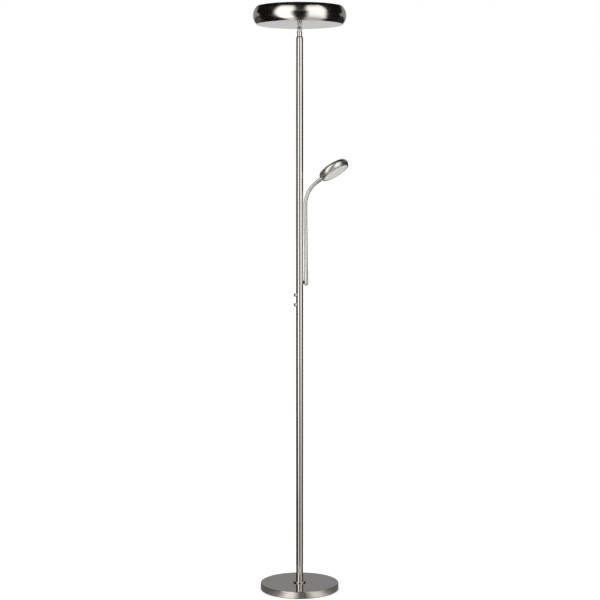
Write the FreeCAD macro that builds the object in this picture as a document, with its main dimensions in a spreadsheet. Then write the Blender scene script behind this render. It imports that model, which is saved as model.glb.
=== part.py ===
"""A torchiere floor lamp with a reading light on a flexible arm.

The lamp stands on the floor at Z = 0 with its pole on the Z axis. The reading light is on the +X side, and
the two dimmer knobs look to -X and a little to -Y, which is the front. All sizes are millimetres and degrees.
"""

import FreeCAD, Part
import math
import os

import Sketcher

Vector = FreeCAD.Vector
Rotation = FreeCAD.Rotation
Placement = FreeCAD.Placement
UP = Vector(0, 0, 1)

doc = FreeCAD.newDocument("torchiere_floor_lamp")


# ---------------------------------------------------------------- driving dimensions

DRIVING_SIZES = {
    "Foot": {
        "base_diameter": 240.0,
        "base_height": 21.0,
        "base_edge_round": 1.5,
        "cover_wall": 1.0,
        "pad_thickness": 2.0,
        "pad_inset": 3.0,
        "well_diameter": 44.0,
        "well_depth": 13.5,
        "channel_width": 9.0,
        "channel_height": 9.0,
        "collar_diameter": 38.0,
        "collar_height": 4.0,
        "nipple_diameter": 10.0,
        "nipple_bore": 8.0,
        "nipple_tail": 0.5,
        "base_nut_height": 4.0,
        "base_nut_flats": 17.0,
        "base_washer_diameter": 30.0,
        "base_washer_thickness": 1.5,
        "grommet_width": 9.0,
        "grommet_height": 6.2,
        "grommet_flange": 1.5,
    },
    "Leads": {
        "lead_diameter": 4.5,
        "lead_drop": 4.8,
        "lead_bend": 8.0,
        "lead_gap": 0.3,
    },
    "Pole": {
        "pole_diameter": 22.0,
        "pole_wall": 1.2,
        "pole_edge_break": 0.3,
        "section_1_length": 414.0,
        "section_2_length": 415.0,
        "section_3_length": 427.0,
        "section_4_length": 427.0,
        "coupler_length": 40.0,
        "coupler_bore": 15.0,
        "insert_length": 25.0,
        "slide_clearance": 0.1,
    },
    "Dimmers": {
        "dimmer_rise": 29.0,
        "dimmer_spacing": 30.0,
        "dimmer_azimuth": 205.0,
        "knob_diameter": 10.0,
        "knob_length": 6.6,
        "knob_edge_round": 1.2,
        "knob_gap": 0.5,
        "knob_roof": 1.0,
        "knob_cavity_diameter": 7.4,
        "knob_cavity_depth": 2.2,
        "shaft_diameter": 4.0,
        "turning_clearance": 0.08,
        "dimmer_bush_diameter": 6.0,
        "dimmer_bush_proud": 2.0,
        "dimmer_width": 9.0,
        "dimmer_height": 10.0,
        "dimmer_depth": 5.0,
        "dimmer_seat": 2.4,
        "board_thickness": 1.2,
        "board_width": 14.0,
        "board_overhang": 2.0,
    },
    "Neck": {
        "neck_spigot": 15.0,
        "neck_step": 0.8,
        "neck_cone": 3.7,
        "neck_diameter": 16.0,
        "neck_length": 18.0,
        "neck_bore": 6.0,
        "pivot_rise": 29.4,
        "knuckle_diameter": 17.2,
        "knuckle_flats": 14.8,
        "slot_depth": 7.4,
        "tongue_thickness": 6.0,
        "tongue_width": 10.0,
        "tongue_foot_radius": 5.8,
        "face_clearance": 0.04,
        "tilt_washer_thickness": 0.45,
        "tilt_washer_diameter": 9.0,
        "tilt_bolt_diameter": 4.0,
        "tilt_bolt_head_diameter": 7.0,
        "tilt_bolt_head_height": 2.0,
        "tilt_nut_flats": 7.0,
        "tilt_nut_height": 3.2,
    },
    "Main head": {
        "underside_rise": 11.1,
        "tongue_collar_diameter": 14.0,
        "tongue_collar_height": 1.9,
        "tongue_stud_diameter": 10.0,
        "tongue_stud_length": 9.5,
        "head_depth": 55.5,
        "head_diameter": 289.0,
        "head_floor_diameter": 263.6,
        "head_lip_diameter": 267.0,
        "head_opening_diameter": 258.0,
        "head_corner_round": 3.0,
        "corner_turn": 47.0,
        "head_wall": 1.2,
        "stiffener_diameter": 60.0,
        "stiffener_thickness": 2.0,
        "head_nut_height": 5.0,
        "post_height": 21.8,
        "post_diameter": 8.0,
        "post_circle_diameter": 212.0,
        "plate_diameter": 244.0,
        "plate_thickness": 2.0,
        "screw_diameter": 4.0,
        "screw_head_diameter": 7.5,
        "screw_head_height": 2.4,
        "screw_reach": 12.0,
        "led_board_diameter": 192.0,
        "led_board_bore": 40.0,
        "led_board_thickness": 1.6,
        "chip_side": 5.0,
        "chip_height": 0.9,
        "chip_ring_diameter": 80.0,
        "chip_ring_step": 48.0,
        "driver_length": 90.0,
        "driver_width": 38.0,
        "driver_height": 18.0,
        "driver_offset": 62.0,
        "driver_edge_round": 3.0,
        "ring_diameter": 242.0,
        "ring_wall": 1.0,
        "ring_flange_thickness": 1.2,
        "diffuser_thickness": 2.5,
        "diffuser_recess": 1.8,
        "opening_clearance": 0.3,
    },
    "Reading arm": {
        "arm_mount_rise": 98.0,
        "arm_gap": 2.2,
        "arm_sleeve_diameter": 13.4,
        "arm_sleeve_length": 47.0,
        "arm_sleeve_foot": 10.0,
        "arm_sleeve_chamfer": 0.8,
        "arm_diameter": 11.0,
        "arm_bore": 5.0,
        "arm_lean": 0.65,
        "arm_first_joint": 8.0,
        "arm_lower_pitch": 32.0,
        "arm_upper_pitch": 20.5,
        "arm_bend_radius": 90.0,
        "link_ball_radius": 5.2,
        "link_cup_clearance": 0.3,
        "link_rim_rise": 2.0,
        "link_shoulder_drop": 0.6,
        "spacer_diameter": 12.0,
        "saddle_clearance": 0.05,
        "arm_bolt_diameter": 6.0,
        "arm_bolt_bore": 3.6,
        "arm_nut_diameter": 9.2,
        "arm_nut_height": 3.0,
    },
    "Reading head": {
        "reading_ferrule_length": 17.4,
        "reading_ferrule_diameter": 12.4,
        "reading_ferrule_taper": 3.0,
        "ferrule_pitch": 36.1,
        "reading_pitch": 31.5,
        "reading_roll": 14.5,
        "reading_diameter": 99.0,
        "reading_depth": 23.0,
        "reading_floor_diameter": 82.0,
        "reading_lip_diameter": 92.0,
        "reading_corner_round": 2.0,
        "reading_wall": 1.0,
        "reading_screw_diameter": 8.0,
        "reading_screw_grip": 5.0,
        "reading_screw_head_diameter": 9.0,
        "reading_screw_head_height": 2.0,
        "bezel_thickness": 1.2,
        "bezel_lip": 1.3,
        "bezel_skirt_wall": 0.9,
        "bezel_skirt_depth": 2.0,
        "reading_diffuser_thickness": 2.0,
        "reading_plate_height": 11.0,
        "reading_plate_wall": 2.0,
        "reading_plate_diameter": 78.0,
        "reading_board_inset": 3.0,
        "reading_board_thickness": 1.2,
    },
}

# How many of each repeated piece.
POST_COUNT = 3
CHIPS_PER_RING = (12, 18, 24)
LOWER_LINKS = 6
UPPER_LINKS = 4


class Size:
    """A number together with the spreadsheet formula that gives it."""

    def __init__(self, value, formula):
        self.value = float(value)
        self.formula = formula

    def __add__(self, other):
        other = as_size(other)
        return Size(self.value + other.value, f"({self.formula} + {other.formula})")

    def __sub__(self, other):
        other = as_size(other)
        return Size(self.value - other.value, f"({self.formula} - {other.formula})")

    def __mul__(self, other):
        other = as_size(other)
        return Size(self.value * other.value, f"({self.formula} * {other.formula})")

    def __truediv__(self, other):
        other = as_size(other)
        return Size(self.value / other.value, f"({self.formula} / {other.formula})")

    def __radd__(self, other):
        return as_size(other) + self

    def __rsub__(self, other):
        return as_size(other) - self

    def __rmul__(self, other):
        return as_size(other) * self

    def __neg__(self):
        return Size(-self.value, f"(-1 * {self.formula})")


def as_size(number):
    """A plain number as a Size, and a Size as it is."""
    return number if isinstance(number, Size) else Size(number, repr(float(number)))


def root(size):
    return Size(math.sqrt(size.value), f"sqrt({size.formula})")


def sine(angle):
    return Size(math.sin(math.radians(angle.value)), f"sin({angle.formula})")


def cosine(angle):
    return Size(math.cos(math.radians(angle.value)), f"cos({angle.formula})")


class Sheet:
    """The spreadsheet of driving dimensions. Each one is read back as an attribute."""

    def __init__(self, groups):
        table = doc.addObject("Spreadsheet::Sheet", "Sizes")
        row = 1
        for group, sizes in groups.items():
            table.set(f"A{row}", group)
            row += 1
            for name, value in sizes.items():
                table.set(f"A{row}", name)
                table.set(f"B{row}", str(value))
                table.setAlias(f"B{row}", name)
                setattr(self, name, Size(value, f"Sizes.{name}"))
                row += 1


s = Sheet(DRIVING_SIZES)
doc.recompute()

nodes = []


# ---------------------------------------------------------------- tools of the drawing


def bind(thing, property_name, size):
    """Give a property its value and tie it to the sheet."""
    thing.setExpression(property_name, as_size(size).formula)


def keep(thing):
    """Mark a finished sub-part, which becomes a node under its label."""
    nodes.append(thing)
    return thing


def new_body(label, place=None):
    body = doc.addObject("PartDesign::Body", label)
    body.Label = label
    if place is not None:
        body.Placement = place
    return body


def new_sketch(body, plane, offset=None):
    """An empty sketch on one of the body's own planes, moved along the plane's normal by offset."""
    sketch = body.newObject("Sketcher::SketchObject", f"{body.Name}_sketch")
    support = [feature for feature in body.Origin.OriginFeatures if feature.Role == plane][0]
    sketch.AttachmentSupport = (support, [""])
    sketch.MapMode = "FlatFace"
    if offset is not None:
        sketch.AttachmentOffset = Placement(Vector(0, 0, offset.value), Rotation())
        bind(sketch, "AttachmentOffset.Base.z", offset)
    return sketch


def constrain(sketch, kind, references, size):
    index = sketch.addConstraint(Sketcher.Constraint(kind, *references, size.value))
    bind(sketch, f"Constraints[{index}]", size)


def draw_arc(sketch, start, end, radius, bulge):
    """A minor arc from start to end. bulge is 1 if it turns left on its way, and -1 if it turns right."""
    middle = (start + end) * 0.5
    along = end - start
    left = Vector(-along.y, along.x, 0).normalize()
    rise = math.sqrt(radius ** 2 - (along.Length / 2) ** 2)
    centre = middle + left * (rise * bulge)
    first, last = (start, end) if bulge > 0 else (end, start)
    angles = [math.atan2(point.y - centre.y, point.x - centre.x) for point in (first, last)]
    if angles[1] < angles[0]:
        angles[1] += 2 * math.pi
    circle = Part.Circle(centre, UP, radius)
    return sketch.addGeometry(Part.ArcOfCircle(circle, angles[0], angles[1]))


def draw_outline(sketch, outline):
    """A closed outline. Each corner is (x, y), or (x, y, radius, bulge) if an arc runs on from it."""
    corners = [[as_size(number) for number in corner] for corner in outline]
    points = [Vector(corner[0].value, corner[1].value, 0) for corner in corners]
    ends = []
    for index, corner in enumerate(corners):
        start = points[index]
        end = points[(index + 1) % len(points)]
        if len(corner) == 2:
            edge = sketch.addGeometry(Part.LineSegment(start, end))
            ends.append((edge, 1, 2))
        else:
            bulge = corner[3].value
            edge = draw_arc(sketch, start, end, corner[2].value, bulge)
            ends.append((edge, 1, 2) if bulge > 0 else (edge, 2, 1))
    for index, (edge, _, tail) in enumerate(ends):
        following, head, _ = ends[(index + 1) % len(ends)]
        sketch.addConstraint(Sketcher.Constraint("Coincident", edge, tail, following, head))
    for corner, (edge, head, _) in zip(corners, ends):
        constrain(sketch, "DistanceX", (-1, 1, edge, head), corner[0])
        constrain(sketch, "DistanceY", (-1, 1, edge, head), corner[1])
        if len(corner) > 2:
            constrain(sketch, "Radius", (edge,), corner[2])


def draw_circle(sketch, x, y, radius):
    x, y, radius = as_size(x), as_size(y), as_size(radius)
    edge = sketch.addGeometry(Part.Circle(Vector(x.value, y.value, 0), UP, radius.value))
    constrain(sketch, "DistanceX", (-1, 1, edge, 3), x)
    constrain(sketch, "DistanceY", (-1, 1, edge, 3), y)
    constrain(sketch, "Radius", (edge,), radius)


def rectangle(low_x, low_y, high_x, high_y):
    return [(low_x, low_y), (high_x, low_y), (high_x, high_y), (low_x, high_y)]


def hexagon(flats):
    """A hexagon about the origin, two of whose flats look along x."""
    corner = flats / math.sqrt(3)
    half = flats / 2
    return [
        (half, -corner / 2), (half, corner / 2), (0, corner),
        (-half, corner / 2), (-half, -corner / 2), (0, -corner),
    ]


def turned(label, outline, place=None):
    """A body turned about its own Z axis from an outline of (radius, height) corners."""
    body = new_body(label, place)
    sketch = new_sketch(body, "XZ_Plane")
    draw_outline(sketch, outline)
    solid = body.newObject("PartDesign::Revolution", f"{label}_turned")
    solid.Profile = (sketch, [""])
    solid.ReferenceAxis = (sketch, ["V_Axis"])
    solid.Angle = 360
    return body


def pad(body, draw, plane, length, offset=None, symmetric=False):
    """Grow the body by what draw(sketch) draws, along the plane's normal."""
    sketch = new_sketch(body, plane, offset)
    draw(sketch)
    solid = body.newObject("PartDesign::Pad", f"{body.Name}_pad")
    solid.Profile = (sketch, [""])
    if symmetric:
        solid.SideType = "Symmetric"
    bind(solid, "Length", length)
    return solid


def pocket(body, draw, plane, length=None, offset=None, symmetric=False):
    """Cut what draw(sketch) draws out of the body, and make sure that something was cut."""
    doc.recompute()
    before = body.Shape.Volume
    sketch = new_sketch(body, plane, offset)
    draw(sketch)
    cut = body.newObject("PartDesign::Pocket", f"{body.Name}_pocket")
    cut.Profile = (sketch, [""])
    if symmetric:
        cut.SideType = "Symmetric"
    if length is None:
        cut.Type = "ThroughAll"
    else:
        bind(cut, "Length", length)
    doc.recompute()
    if not body.Shape.Volume < before:
        raise RuntimeError(f"{body.Label}: a pocket cut nothing")
    return cut


def group(label, members):
    """Identical pieces under one label, as separate solids."""
    bundle = doc.addObject("Part::Compound", label)
    bundle.Label = label
    bundle.Links = members
    return bundle


def tube_outline(inner, outer, low, high):
    return rectangle(inner, low, outer, high)


def at(x=0.0, y=0.0, z=0.0, rotation=None):
    """A placement from Sizes or numbers."""
    numbers = [as_size(number).value for number in (x, y, z)]
    return Placement(Vector(*numbers), rotation or Rotation())


# ---------------------------------------------------------------- foot

base_radius = s.base_diameter / 2
pole_radius = s.pole_diameter / 2
pole_bore_radius = pole_radius - s.pole_wall
nipple_radius = s.nipple_diameter / 2
nipple_hole_radius = nipple_radius + s.slide_clearance
cover_top = s.base_height
weight_top = s.base_height - s.cover_wall
weight_radius = base_radius - s.cover_wall - s.opening_clearance
well_top = s.pad_thickness + s.well_depth
washer_bottom = well_top - s.base_washer_thickness
nut_bottom = washer_bottom - s.base_nut_height
nipple_bottom = nut_bottom - s.nipple_tail
lead_radius = s.lead_diameter / 2


def make_foot():
    """Anti-slip pad, cast weight and pressed cover, with the inlet of the lead at the back."""
    keep(turned("base_pad", tube_outline(0, base_radius - s.pad_inset, 0, s.pad_thickness)))

    weight = keep(turned("base_weight", [
        (s.well_diameter / 2, s.pad_thickness),
        (weight_radius, s.pad_thickness),
        (weight_radius, weight_top - s.base_edge_round),
        (weight_radius - s.base_edge_round, weight_top),
        (nipple_hole_radius, weight_top),
        (nipple_hole_radius, well_top),
        (s.well_diameter / 2, well_top),
    ]))
    half_channel = s.channel_width / 2
    channel_top = s.pad_thickness + s.channel_height
    pocket(weight, lambda sketch: draw_outline(
        sketch, rectangle(-half_channel, s.pad_thickness, half_channel, channel_top)), "XZ_Plane")

    wall = s.cover_wall
    cover = keep(turned("base_cover", [
        (base_radius - wall, s.pad_thickness),
        (base_radius, s.pad_thickness),
        (base_radius, cover_top - s.base_edge_round, s.base_edge_round, 1),
        (base_radius - s.base_edge_round, cover_top),
        (nipple_hole_radius, cover_top),
        (nipple_hole_radius, cover_top - wall),
        (base_radius - wall, cover_top - wall),
    ]))
    half_notch = s.grommet_width / 2
    notch_top = s.pad_thickness + s.grommet_height
    pocket(cover, lambda sketch: draw_outline(
        sketch, rectangle(-half_notch, s.pad_thickness, half_notch, notch_top)), "XZ_Plane")

    collar_radius = s.collar_diameter / 2
    collar_round = s.collar_height / 2
    keep(turned("base_collar", [
        (pole_radius + s.slide_clearance, cover_top),
        (collar_radius - collar_round, cover_top, collar_round, 1),
        (collar_radius, cover_top + collar_round, collar_round, 1),
        (collar_radius - collar_round, cover_top + s.collar_height),
        (pole_radius + s.slide_clearance, cover_top + s.collar_height),
    ]))


def make_foot_fixing():
    """The hollow threaded nipple between weight and pole, with its washer and nut in the well."""
    insert_top = cover_top + s.insert_length
    keep(turned("base_nipple", tube_outline(s.nipple_bore / 2, nipple_radius, nipple_bottom, insert_top)))
    keep(turned("base_washer", tube_outline(
        nipple_hole_radius, s.base_washer_diameter / 2, washer_bottom, well_top)))

    nut = keep(new_body("base_nut"))
    pad(nut, lambda sketch: draw_outline(sketch, hexagon(s.base_nut_flats)), "XY_Plane",
        s.base_nut_height, nut_bottom)
    pocket(nut, lambda sketch: draw_circle(sketch, 0, 0, nipple_hole_radius), "XY_Plane", symmetric=True)

    keep(turned("pole_foot_insert", tube_outline(
        nipple_hole_radius, pole_bore_radius - s.slide_clearance, cover_top, insert_top)))


def make_inlet():
    """The grommet that closes the notch at the back of the cover."""
    grommet = keep(new_body("lead_grommet"))
    half_width = s.grommet_width / 2 - s.slide_clearance
    top = s.pad_thickness + s.grommet_height - s.slide_clearance
    outline = rectangle(-half_width, s.pad_thickness, half_width, top)
    flange_outline = rectangle(
        -half_width - s.grommet_flange, s.pad_thickness, half_width + s.grommet_flange, top + s.grommet_flange)
    wall_start = base_radius - s.cover_wall
    pad(grommet, lambda sketch: draw_outline(sketch, outline), "XZ_Plane",
        s.cover_wall + 2 * s.opening_clearance, -(base_radius + s.opening_clearance))
    outer_start = -(base_radius + s.opening_clearance + s.grommet_flange)
    pad(grommet, lambda sketch: draw_outline(sketch, flange_outline), "XZ_Plane", s.grommet_flange, outer_start)
    pad(grommet, lambda sketch: draw_outline(sketch, outline), "XZ_Plane",
        s.grommet_flange, -(wall_start - s.opening_clearance))
    pocket(grommet, lambda sketch: draw_circle(sketch, 0, s.lead_drop, lead_radius + s.slide_clearance),
           "XZ_Plane", symmetric=True)


# ---------------------------------------------------------------- leads

section_lengths = (s.section_1_length, s.section_2_length, s.section_3_length, s.section_4_length)
section_1_top = cover_top + s.section_1_length
section_2_top = section_1_top + s.section_2_length
section_3_top = section_2_top + s.section_3_length
pole_top = section_3_top + s.section_4_length
lower_dimmer_height = section_2_top + s.dimmer_rise
upper_dimmer_height = lower_dimmer_height + s.dimmer_spacing
board_bottom = lower_dimmer_height - s.dimmer_height / 2 - s.board_overhang
board_top = upper_dimmer_height + s.dimmer_height / 2 + s.board_overhang
pivot_height = pole_top + s.pivot_rise


def make_leads():
    """The mains lead from the inlet up to the dimmers, and the lead from the dimmers to the neck."""
    lead = keep(new_body("mains_lead"))
    route = new_sketch(lead, "YZ_Plane")
    inlet = base_radius - s.cover_wall - s.opening_clearance
    top = board_bottom - s.lead_gap
    low_turn = Vector(s.lead_bend.value, s.lead_drop.value, 0)
    high_turn = Vector(0, s.lead_drop.value + s.lead_bend.value, 0)
    route.addGeometry(Part.LineSegment(Vector(0, top.value, 0), high_turn))
    bend = draw_arc(route, high_turn, low_turn, s.lead_bend.value, 1)
    route.addGeometry(Part.LineSegment(low_turn, Vector(inlet.value, s.lead_drop.value, 0)))
    for first, tail, second, head in ((0, 2, bend, 1), (bend, 2, 2, 1)):
        route.addConstraint(Sketcher.Constraint("Coincident", first, tail, second, head))
    for edge, point, x, y in (
        (0, 1, as_size(0), top),
        (0, 2, as_size(0), s.lead_drop + s.lead_bend),
        (2, 1, s.lead_bend, s.lead_drop),
        (2, 2, inlet, s.lead_drop),
    ):
        constrain(route, "DistanceX", (-1, 1, edge, point), x)
        constrain(route, "DistanceY", (-1, 1, edge, point), y)
    constrain(route, "Radius", (bend,), s.lead_bend)
    section = new_sketch(lead, "XY_Plane", top)
    draw_circle(section, 0, 0, lead_radius)
    doc.recompute()
    pipe = lead.newObject("PartDesign::AdditivePipe", "mains_lead_pipe")
    pipe.Profile = (section, [""])
    pipe.Spine = (route, ["Edge1", "Edge2", "Edge3"])
    doc.recompute()
    straight = (top.value - high_turn.y) + (inlet.value - low_turn.x)
    length = straight + math.pi / 2 * s.lead_bend.value
    expected = math.pi * lead_radius.value ** 2 * length
    print(f"mains_lead: length {length:.1f}, bend radius {s.lead_bend.value}, "
          f"volume {pipe.Shape.Volume / expected:.4f} of section times length")

    slot_floor = pivot_height - s.slot_depth
    keep(turned("head_lead", tube_outline(0, lead_radius, board_top + s.lead_gap, slot_floor - s.lead_gap)))


# ---------------------------------------------------------------- pole

arm_mount_height = section_2_top + s.arm_mount_rise
arm_bolt_radius = s.arm_bolt_diameter / 2
dimmer_bush_radius = s.dimmer_bush_diameter / 2
knob_direction = Vector(
    math.cos(math.radians(s.dimmer_azimuth.value)), math.sin(math.radians(s.dimmer_azimuth.value)), 0)


def tube(label, low, high):
    """A length of pole whose edges are broken a little, so that a joint shows as a hairline."""
    edge = s.pole_edge_break
    return turned(label, [
        (pole_bore_radius, low),
        (pole_radius - edge, low),
        (pole_radius, low + edge),
        (pole_radius, high - edge),
        (pole_radius - edge, high),
        (pole_bore_radius, high),
    ])


def drill(label, radius, height, direction):
    """A cylinder that runs from the pole's axis out through one wall."""
    bit = doc.addObject("Part::Cylinder", label)
    bind(bit, "Radius", radius)
    bind(bit, "Height", pole_radius + s.pole_wall)
    bit.Placement = Placement(Vector(0, 0, height.value), Rotation(UP, direction))
    bind(bit, "Placement.Base.z", height)
    return bit


def make_pole():
    """Four tubes. The third carries the dimmers and the reading arm, so it is drilled."""
    low = cover_top
    for number, length in enumerate(section_lengths, start=1):
        high = low + length
        if number == 3:
            blank = tube("pole_section_3_blank", low, high)
            bush_hole = dimmer_bush_radius + s.slide_clearance
            bits = [
                drill("lower_dimmer_hole", bush_hole, lower_dimmer_height, knob_direction),
                drill("upper_dimmer_hole", bush_hole, upper_dimmer_height, knob_direction),
                drill("arm_hole", arm_bolt_radius + s.slide_clearance, arm_mount_height, Vector(1, 0, 0)),
            ]
            holes = doc.addObject("Part::MultiFuse", "pole_holes")
            holes.Shapes = bits
            section = doc.addObject("Part::Cut", "pole_section_3")
            section.Base = blank
            section.Tool = holes
            keep(section)
        else:
            keep(tube(f"pole_section_{number}", low, high))
        low = high

    couplers = []
    outer = pole_bore_radius - s.slide_clearance
    for number, height in enumerate((section_1_top, section_2_top, section_3_top), start=1):
        half = s.coupler_length / 2
        couplers.append(turned(f"coupler_{number}", tube_outline(
            s.coupler_bore / 2, outer, height - half, height + half)))
    keep(group("pole_couplers", couplers))


# ---------------------------------------------------------------- dimmers

# Each dimmer piece is drawn with its own Z axis pointing out of the pole.
knob_start = pole_radius + s.knob_gap
knob_end = knob_start + s.knob_length
knob_radius = s.knob_diameter / 2
shaft_radius = s.shaft_diameter / 2
shaft_hole_radius = shaft_radius + s.turning_clearance
shaft_end = knob_end - s.knob_roof
dimmer_front = s.dimmer_seat + s.dimmer_depth
bush_end = pole_radius + s.dimmer_bush_proud


def dimmer_place(height):
    return Placement(Vector(0, 0, height.value), Rotation(UP, knob_direction))


def make_dimmer(name, height):
    """A knob pressed on its shaft. Both turn in the dimmer's bush."""
    place = dimmer_place(height)
    keep(turned(f"dimmer_knob_{name}", [
        (s.knob_cavity_diameter / 2, knob_start),
        (knob_radius, knob_start),
        (knob_radius, knob_end - s.knob_edge_round, s.knob_edge_round, 1),
        (knob_radius - s.knob_edge_round, knob_end),
        (0, knob_end),
        (0, shaft_end),
        (shaft_radius + s.saddle_clearance, shaft_end),
        (shaft_radius + s.saddle_clearance, knob_start + s.knob_cavity_depth),
        (s.knob_cavity_diameter / 2, knob_start + s.knob_cavity_depth),
    ], place))
    shaft_start = s.dimmer_seat + s.board_thickness
    keep(turned(f"dimmer_shaft_{name}", tube_outline(
        0, shaft_radius, shaft_start + s.turning_clearance, shaft_end), place))


def dimmer_housing(name, height):
    """The fixed dimmer: a block on the board, and a bush through the pole's wall."""
    body = new_body(f"dimmer_housing_{name}", dimmer_place(height))
    half_tall = s.dimmer_height / 2
    half_wide = s.dimmer_width / 2
    pad(body, lambda sketch: draw_outline(sketch, rectangle(-half_tall, -half_wide, half_tall, half_wide)),
        "XY_Plane", s.dimmer_depth, s.dimmer_seat)
    pad(body, lambda sketch: draw_circle(sketch, 0, 0, dimmer_bush_radius), "XY_Plane",
        bush_end - dimmer_front, dimmer_front)
    pocket(body, lambda sketch: draw_circle(sketch, 0, 0, shaft_hole_radius), "XY_Plane",
           bush_end - s.dimmer_seat - s.board_thickness, bush_end)
    return body


def make_dimmers():
    make_dimmer("upper", upper_dimmer_height)
    make_dimmer("lower", lower_dimmer_height)
    keep(group("dimmer_bodies", [
        dimmer_housing("upper", upper_dimmer_height),
        dimmer_housing("lower", lower_dimmer_height),
    ]))
    board = doc.addObject("Part::Box", "dimmer_board")
    bind(board, "Length", s.board_thickness)
    bind(board, "Width", s.board_width)
    bind(board, "Height", board_top - board_bottom)
    turn = Rotation(UP, s.dimmer_azimuth.value)
    corner = turn.multVec(Vector(s.dimmer_seat.value - s.board_thickness.value, -s.board_width.value / 2, 0))
    board.Placement = Placement(Vector(corner.x, corner.y, board_bottom.value), turn)
    bind(board, "Placement.Base.z", board_bottom)
    keep(board)


# ---------------------------------------------------------------- neck and tilt joint

neck_radius = s.neck_diameter / 2
knuckle_radius = s.knuckle_diameter / 2
fork_bottom = pole_top + s.neck_length
slot_half = s.tongue_thickness / 2 + s.tilt_washer_thickness + 2 * s.face_clearance
flat_half = s.knuckle_flats / 2
flat_reach = s.tilt_nut_flats / math.sqrt(3) + s.opening_clearance
tilt_bolt_radius = s.tilt_bolt_diameter / 2
underside = pivot_height + s.underside_rise
ALONG_Y = Rotation(UP, Vector(0, 1, 0))


def make_neck():
    """The cone that closes the pole, and the slotted round knuckle on it."""
    spigot_radius = pole_bore_radius - s.slide_clearance
    step_top = pole_top + s.neck_step
    keep(turned("neck", [
        (s.neck_bore / 2, pole_top - s.neck_spigot),
        (spigot_radius, pole_top - s.neck_spigot),
        (spigot_radius, pole_top),
        (pole_radius, pole_top),
        (pole_radius, step_top),
        (neck_radius, step_top + s.neck_cone),
        (neck_radius, fork_bottom),
        (s.neck_bore / 2, fork_bottom),
    ]))

    ball_start = pivot_height - root(knuckle_radius * knuckle_radius - neck_radius * neck_radius)
    fork = keep(turned("neck_fork", [
        (s.neck_bore / 2, fork_bottom),
        (neck_radius, fork_bottom),
        (neck_radius, ball_start, knuckle_radius, 1),
        (knuckle_radius, pivot_height, knuckle_radius, 1),
        (0, pivot_height + knuckle_radius),
        (0, pivot_height),
        (s.neck_bore / 2, pivot_height),
    ]))
    top = pivot_height + 2 * knuckle_radius
    slot_floor = pivot_height - s.slot_depth
    pocket(fork, lambda sketch: draw_outline(sketch, rectangle(-slot_half, slot_floor, slot_half, top)),
           "YZ_Plane", symmetric=True)
    for side in (-1, 1):
        edges = sorted((side * flat_half, side * knuckle_radius * 2), key=lambda size: size.value)
        pocket(fork, lambda sketch: draw_outline(
            sketch, rectangle(edges[0], pivot_height - flat_reach, edges[1], top)), "YZ_Plane", symmetric=True)
    pocket(fork, lambda sketch: draw_circle(sketch, 0, pivot_height, tilt_bolt_radius + s.turning_clearance),
           "XZ_Plane", symmetric=True)


def make_tilt_joint():
    """Bolt, nut and friction washers. The bolt's head is at the front, on the knuckle's flat."""
    head_radius = s.tilt_bolt_head_diameter / 2
    place = at(z=pivot_height, rotation=ALONG_Y)
    keep(turned("tilt_bolt", [
        (0, -flat_half - s.tilt_bolt_head_height),
        (head_radius, -flat_half - s.tilt_bolt_head_height),
        (head_radius, -flat_half),
        (tilt_bolt_radius, -flat_half),
        (tilt_bolt_radius, flat_half + s.tilt_nut_height),
        (0, flat_half + s.tilt_nut_height),
    ], place))
    nut = keep(new_body("tilt_nut", place))
    pad(nut, lambda sketch: draw_outline(sketch, hexagon(s.tilt_nut_flats)), "XY_Plane",
        s.tilt_nut_height, flat_half)
    pocket(nut, lambda sketch: draw_circle(sketch, 0, 0, tilt_bolt_radius + s.saddle_clearance),
           "XY_Plane", symmetric=True)
    washers = []
    outer_face = slot_half - s.face_clearance
    inner_face = outer_face - s.tilt_washer_thickness
    for name, low, high in (("front", -outer_face, -inner_face), ("back", inner_face, outer_face)):
        washers.append(turned(f"tilt_washer_{name}", tube_outline(
            tilt_bolt_radius + s.saddle_clearance, s.tilt_washer_diameter / 2, low, high), place))
    keep(group("tilt_washers", washers))


def make_tongue():
    """The tongue in the knuckle's slot, with a collar under the head and a threaded stud through its floor."""
    stud_radius = s.tongue_stud_diameter / 2
    collar_radius = s.tongue_collar_diameter / 2
    collar_bottom = underside - s.tongue_collar_height
    tongue = keep(turned("head_tongue", [
        (0, collar_bottom),
        (collar_radius, collar_bottom),
        (collar_radius, underside),
        (stud_radius, underside),
        (stud_radius, underside + s.tongue_stud_length),
        (0, underside + s.tongue_stud_length),
    ]))
    half_width = s.tongue_width / 2
    foot_side = root(s.tongue_foot_radius * s.tongue_foot_radius - half_width * half_width)
    pad(tongue, lambda sketch: draw_outline(sketch, [
        (-half_width, pivot_height - foot_side, s.tongue_foot_radius, 1),
        (half_width, pivot_height - foot_side),
        (half_width, collar_bottom),
        (-half_width, collar_bottom),
    ]), "XZ_Plane", s.tongue_thickness, symmetric=True)
    pocket(tongue, lambda sketch: draw_circle(sketch, 0, pivot_height, tilt_bolt_radius + s.turning_clearance),
           "XZ_Plane", symmetric=True)


# ---------------------------------------------------------------- shells of both heads


def side_arc(floor_radius, corner, widest, lip_radius, depth):
    """The side of a spun shell is one arc. Gives its start, radius and centre."""
    start_radius = floor_radius + corner * sine(s.corner_turn)
    start_height = corner * (1 - cosine(s.corner_turn))
    half_chord = (depth - start_height) / 2
    rise = widest - (start_radius + lip_radius) / 2
    arc_radius = (half_chord * half_chord + rise * rise) / (2 * rise)
    return start_radius, start_height, arc_radius, widest - arc_radius, start_height + half_chord


def shell_outside(floor_radius, corner, widest, lip_radius, depth):
    """The outside of a spun shell, from its floor to its lip."""
    start_radius, start_height, arc_radius, _, _ = side_arc(floor_radius, corner, widest, lip_radius, depth)
    return [
        (floor_radius, 0, corner, 1),
        (start_radius, start_height, arc_radius, 1),
        (lip_radius, depth),
    ]


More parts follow.
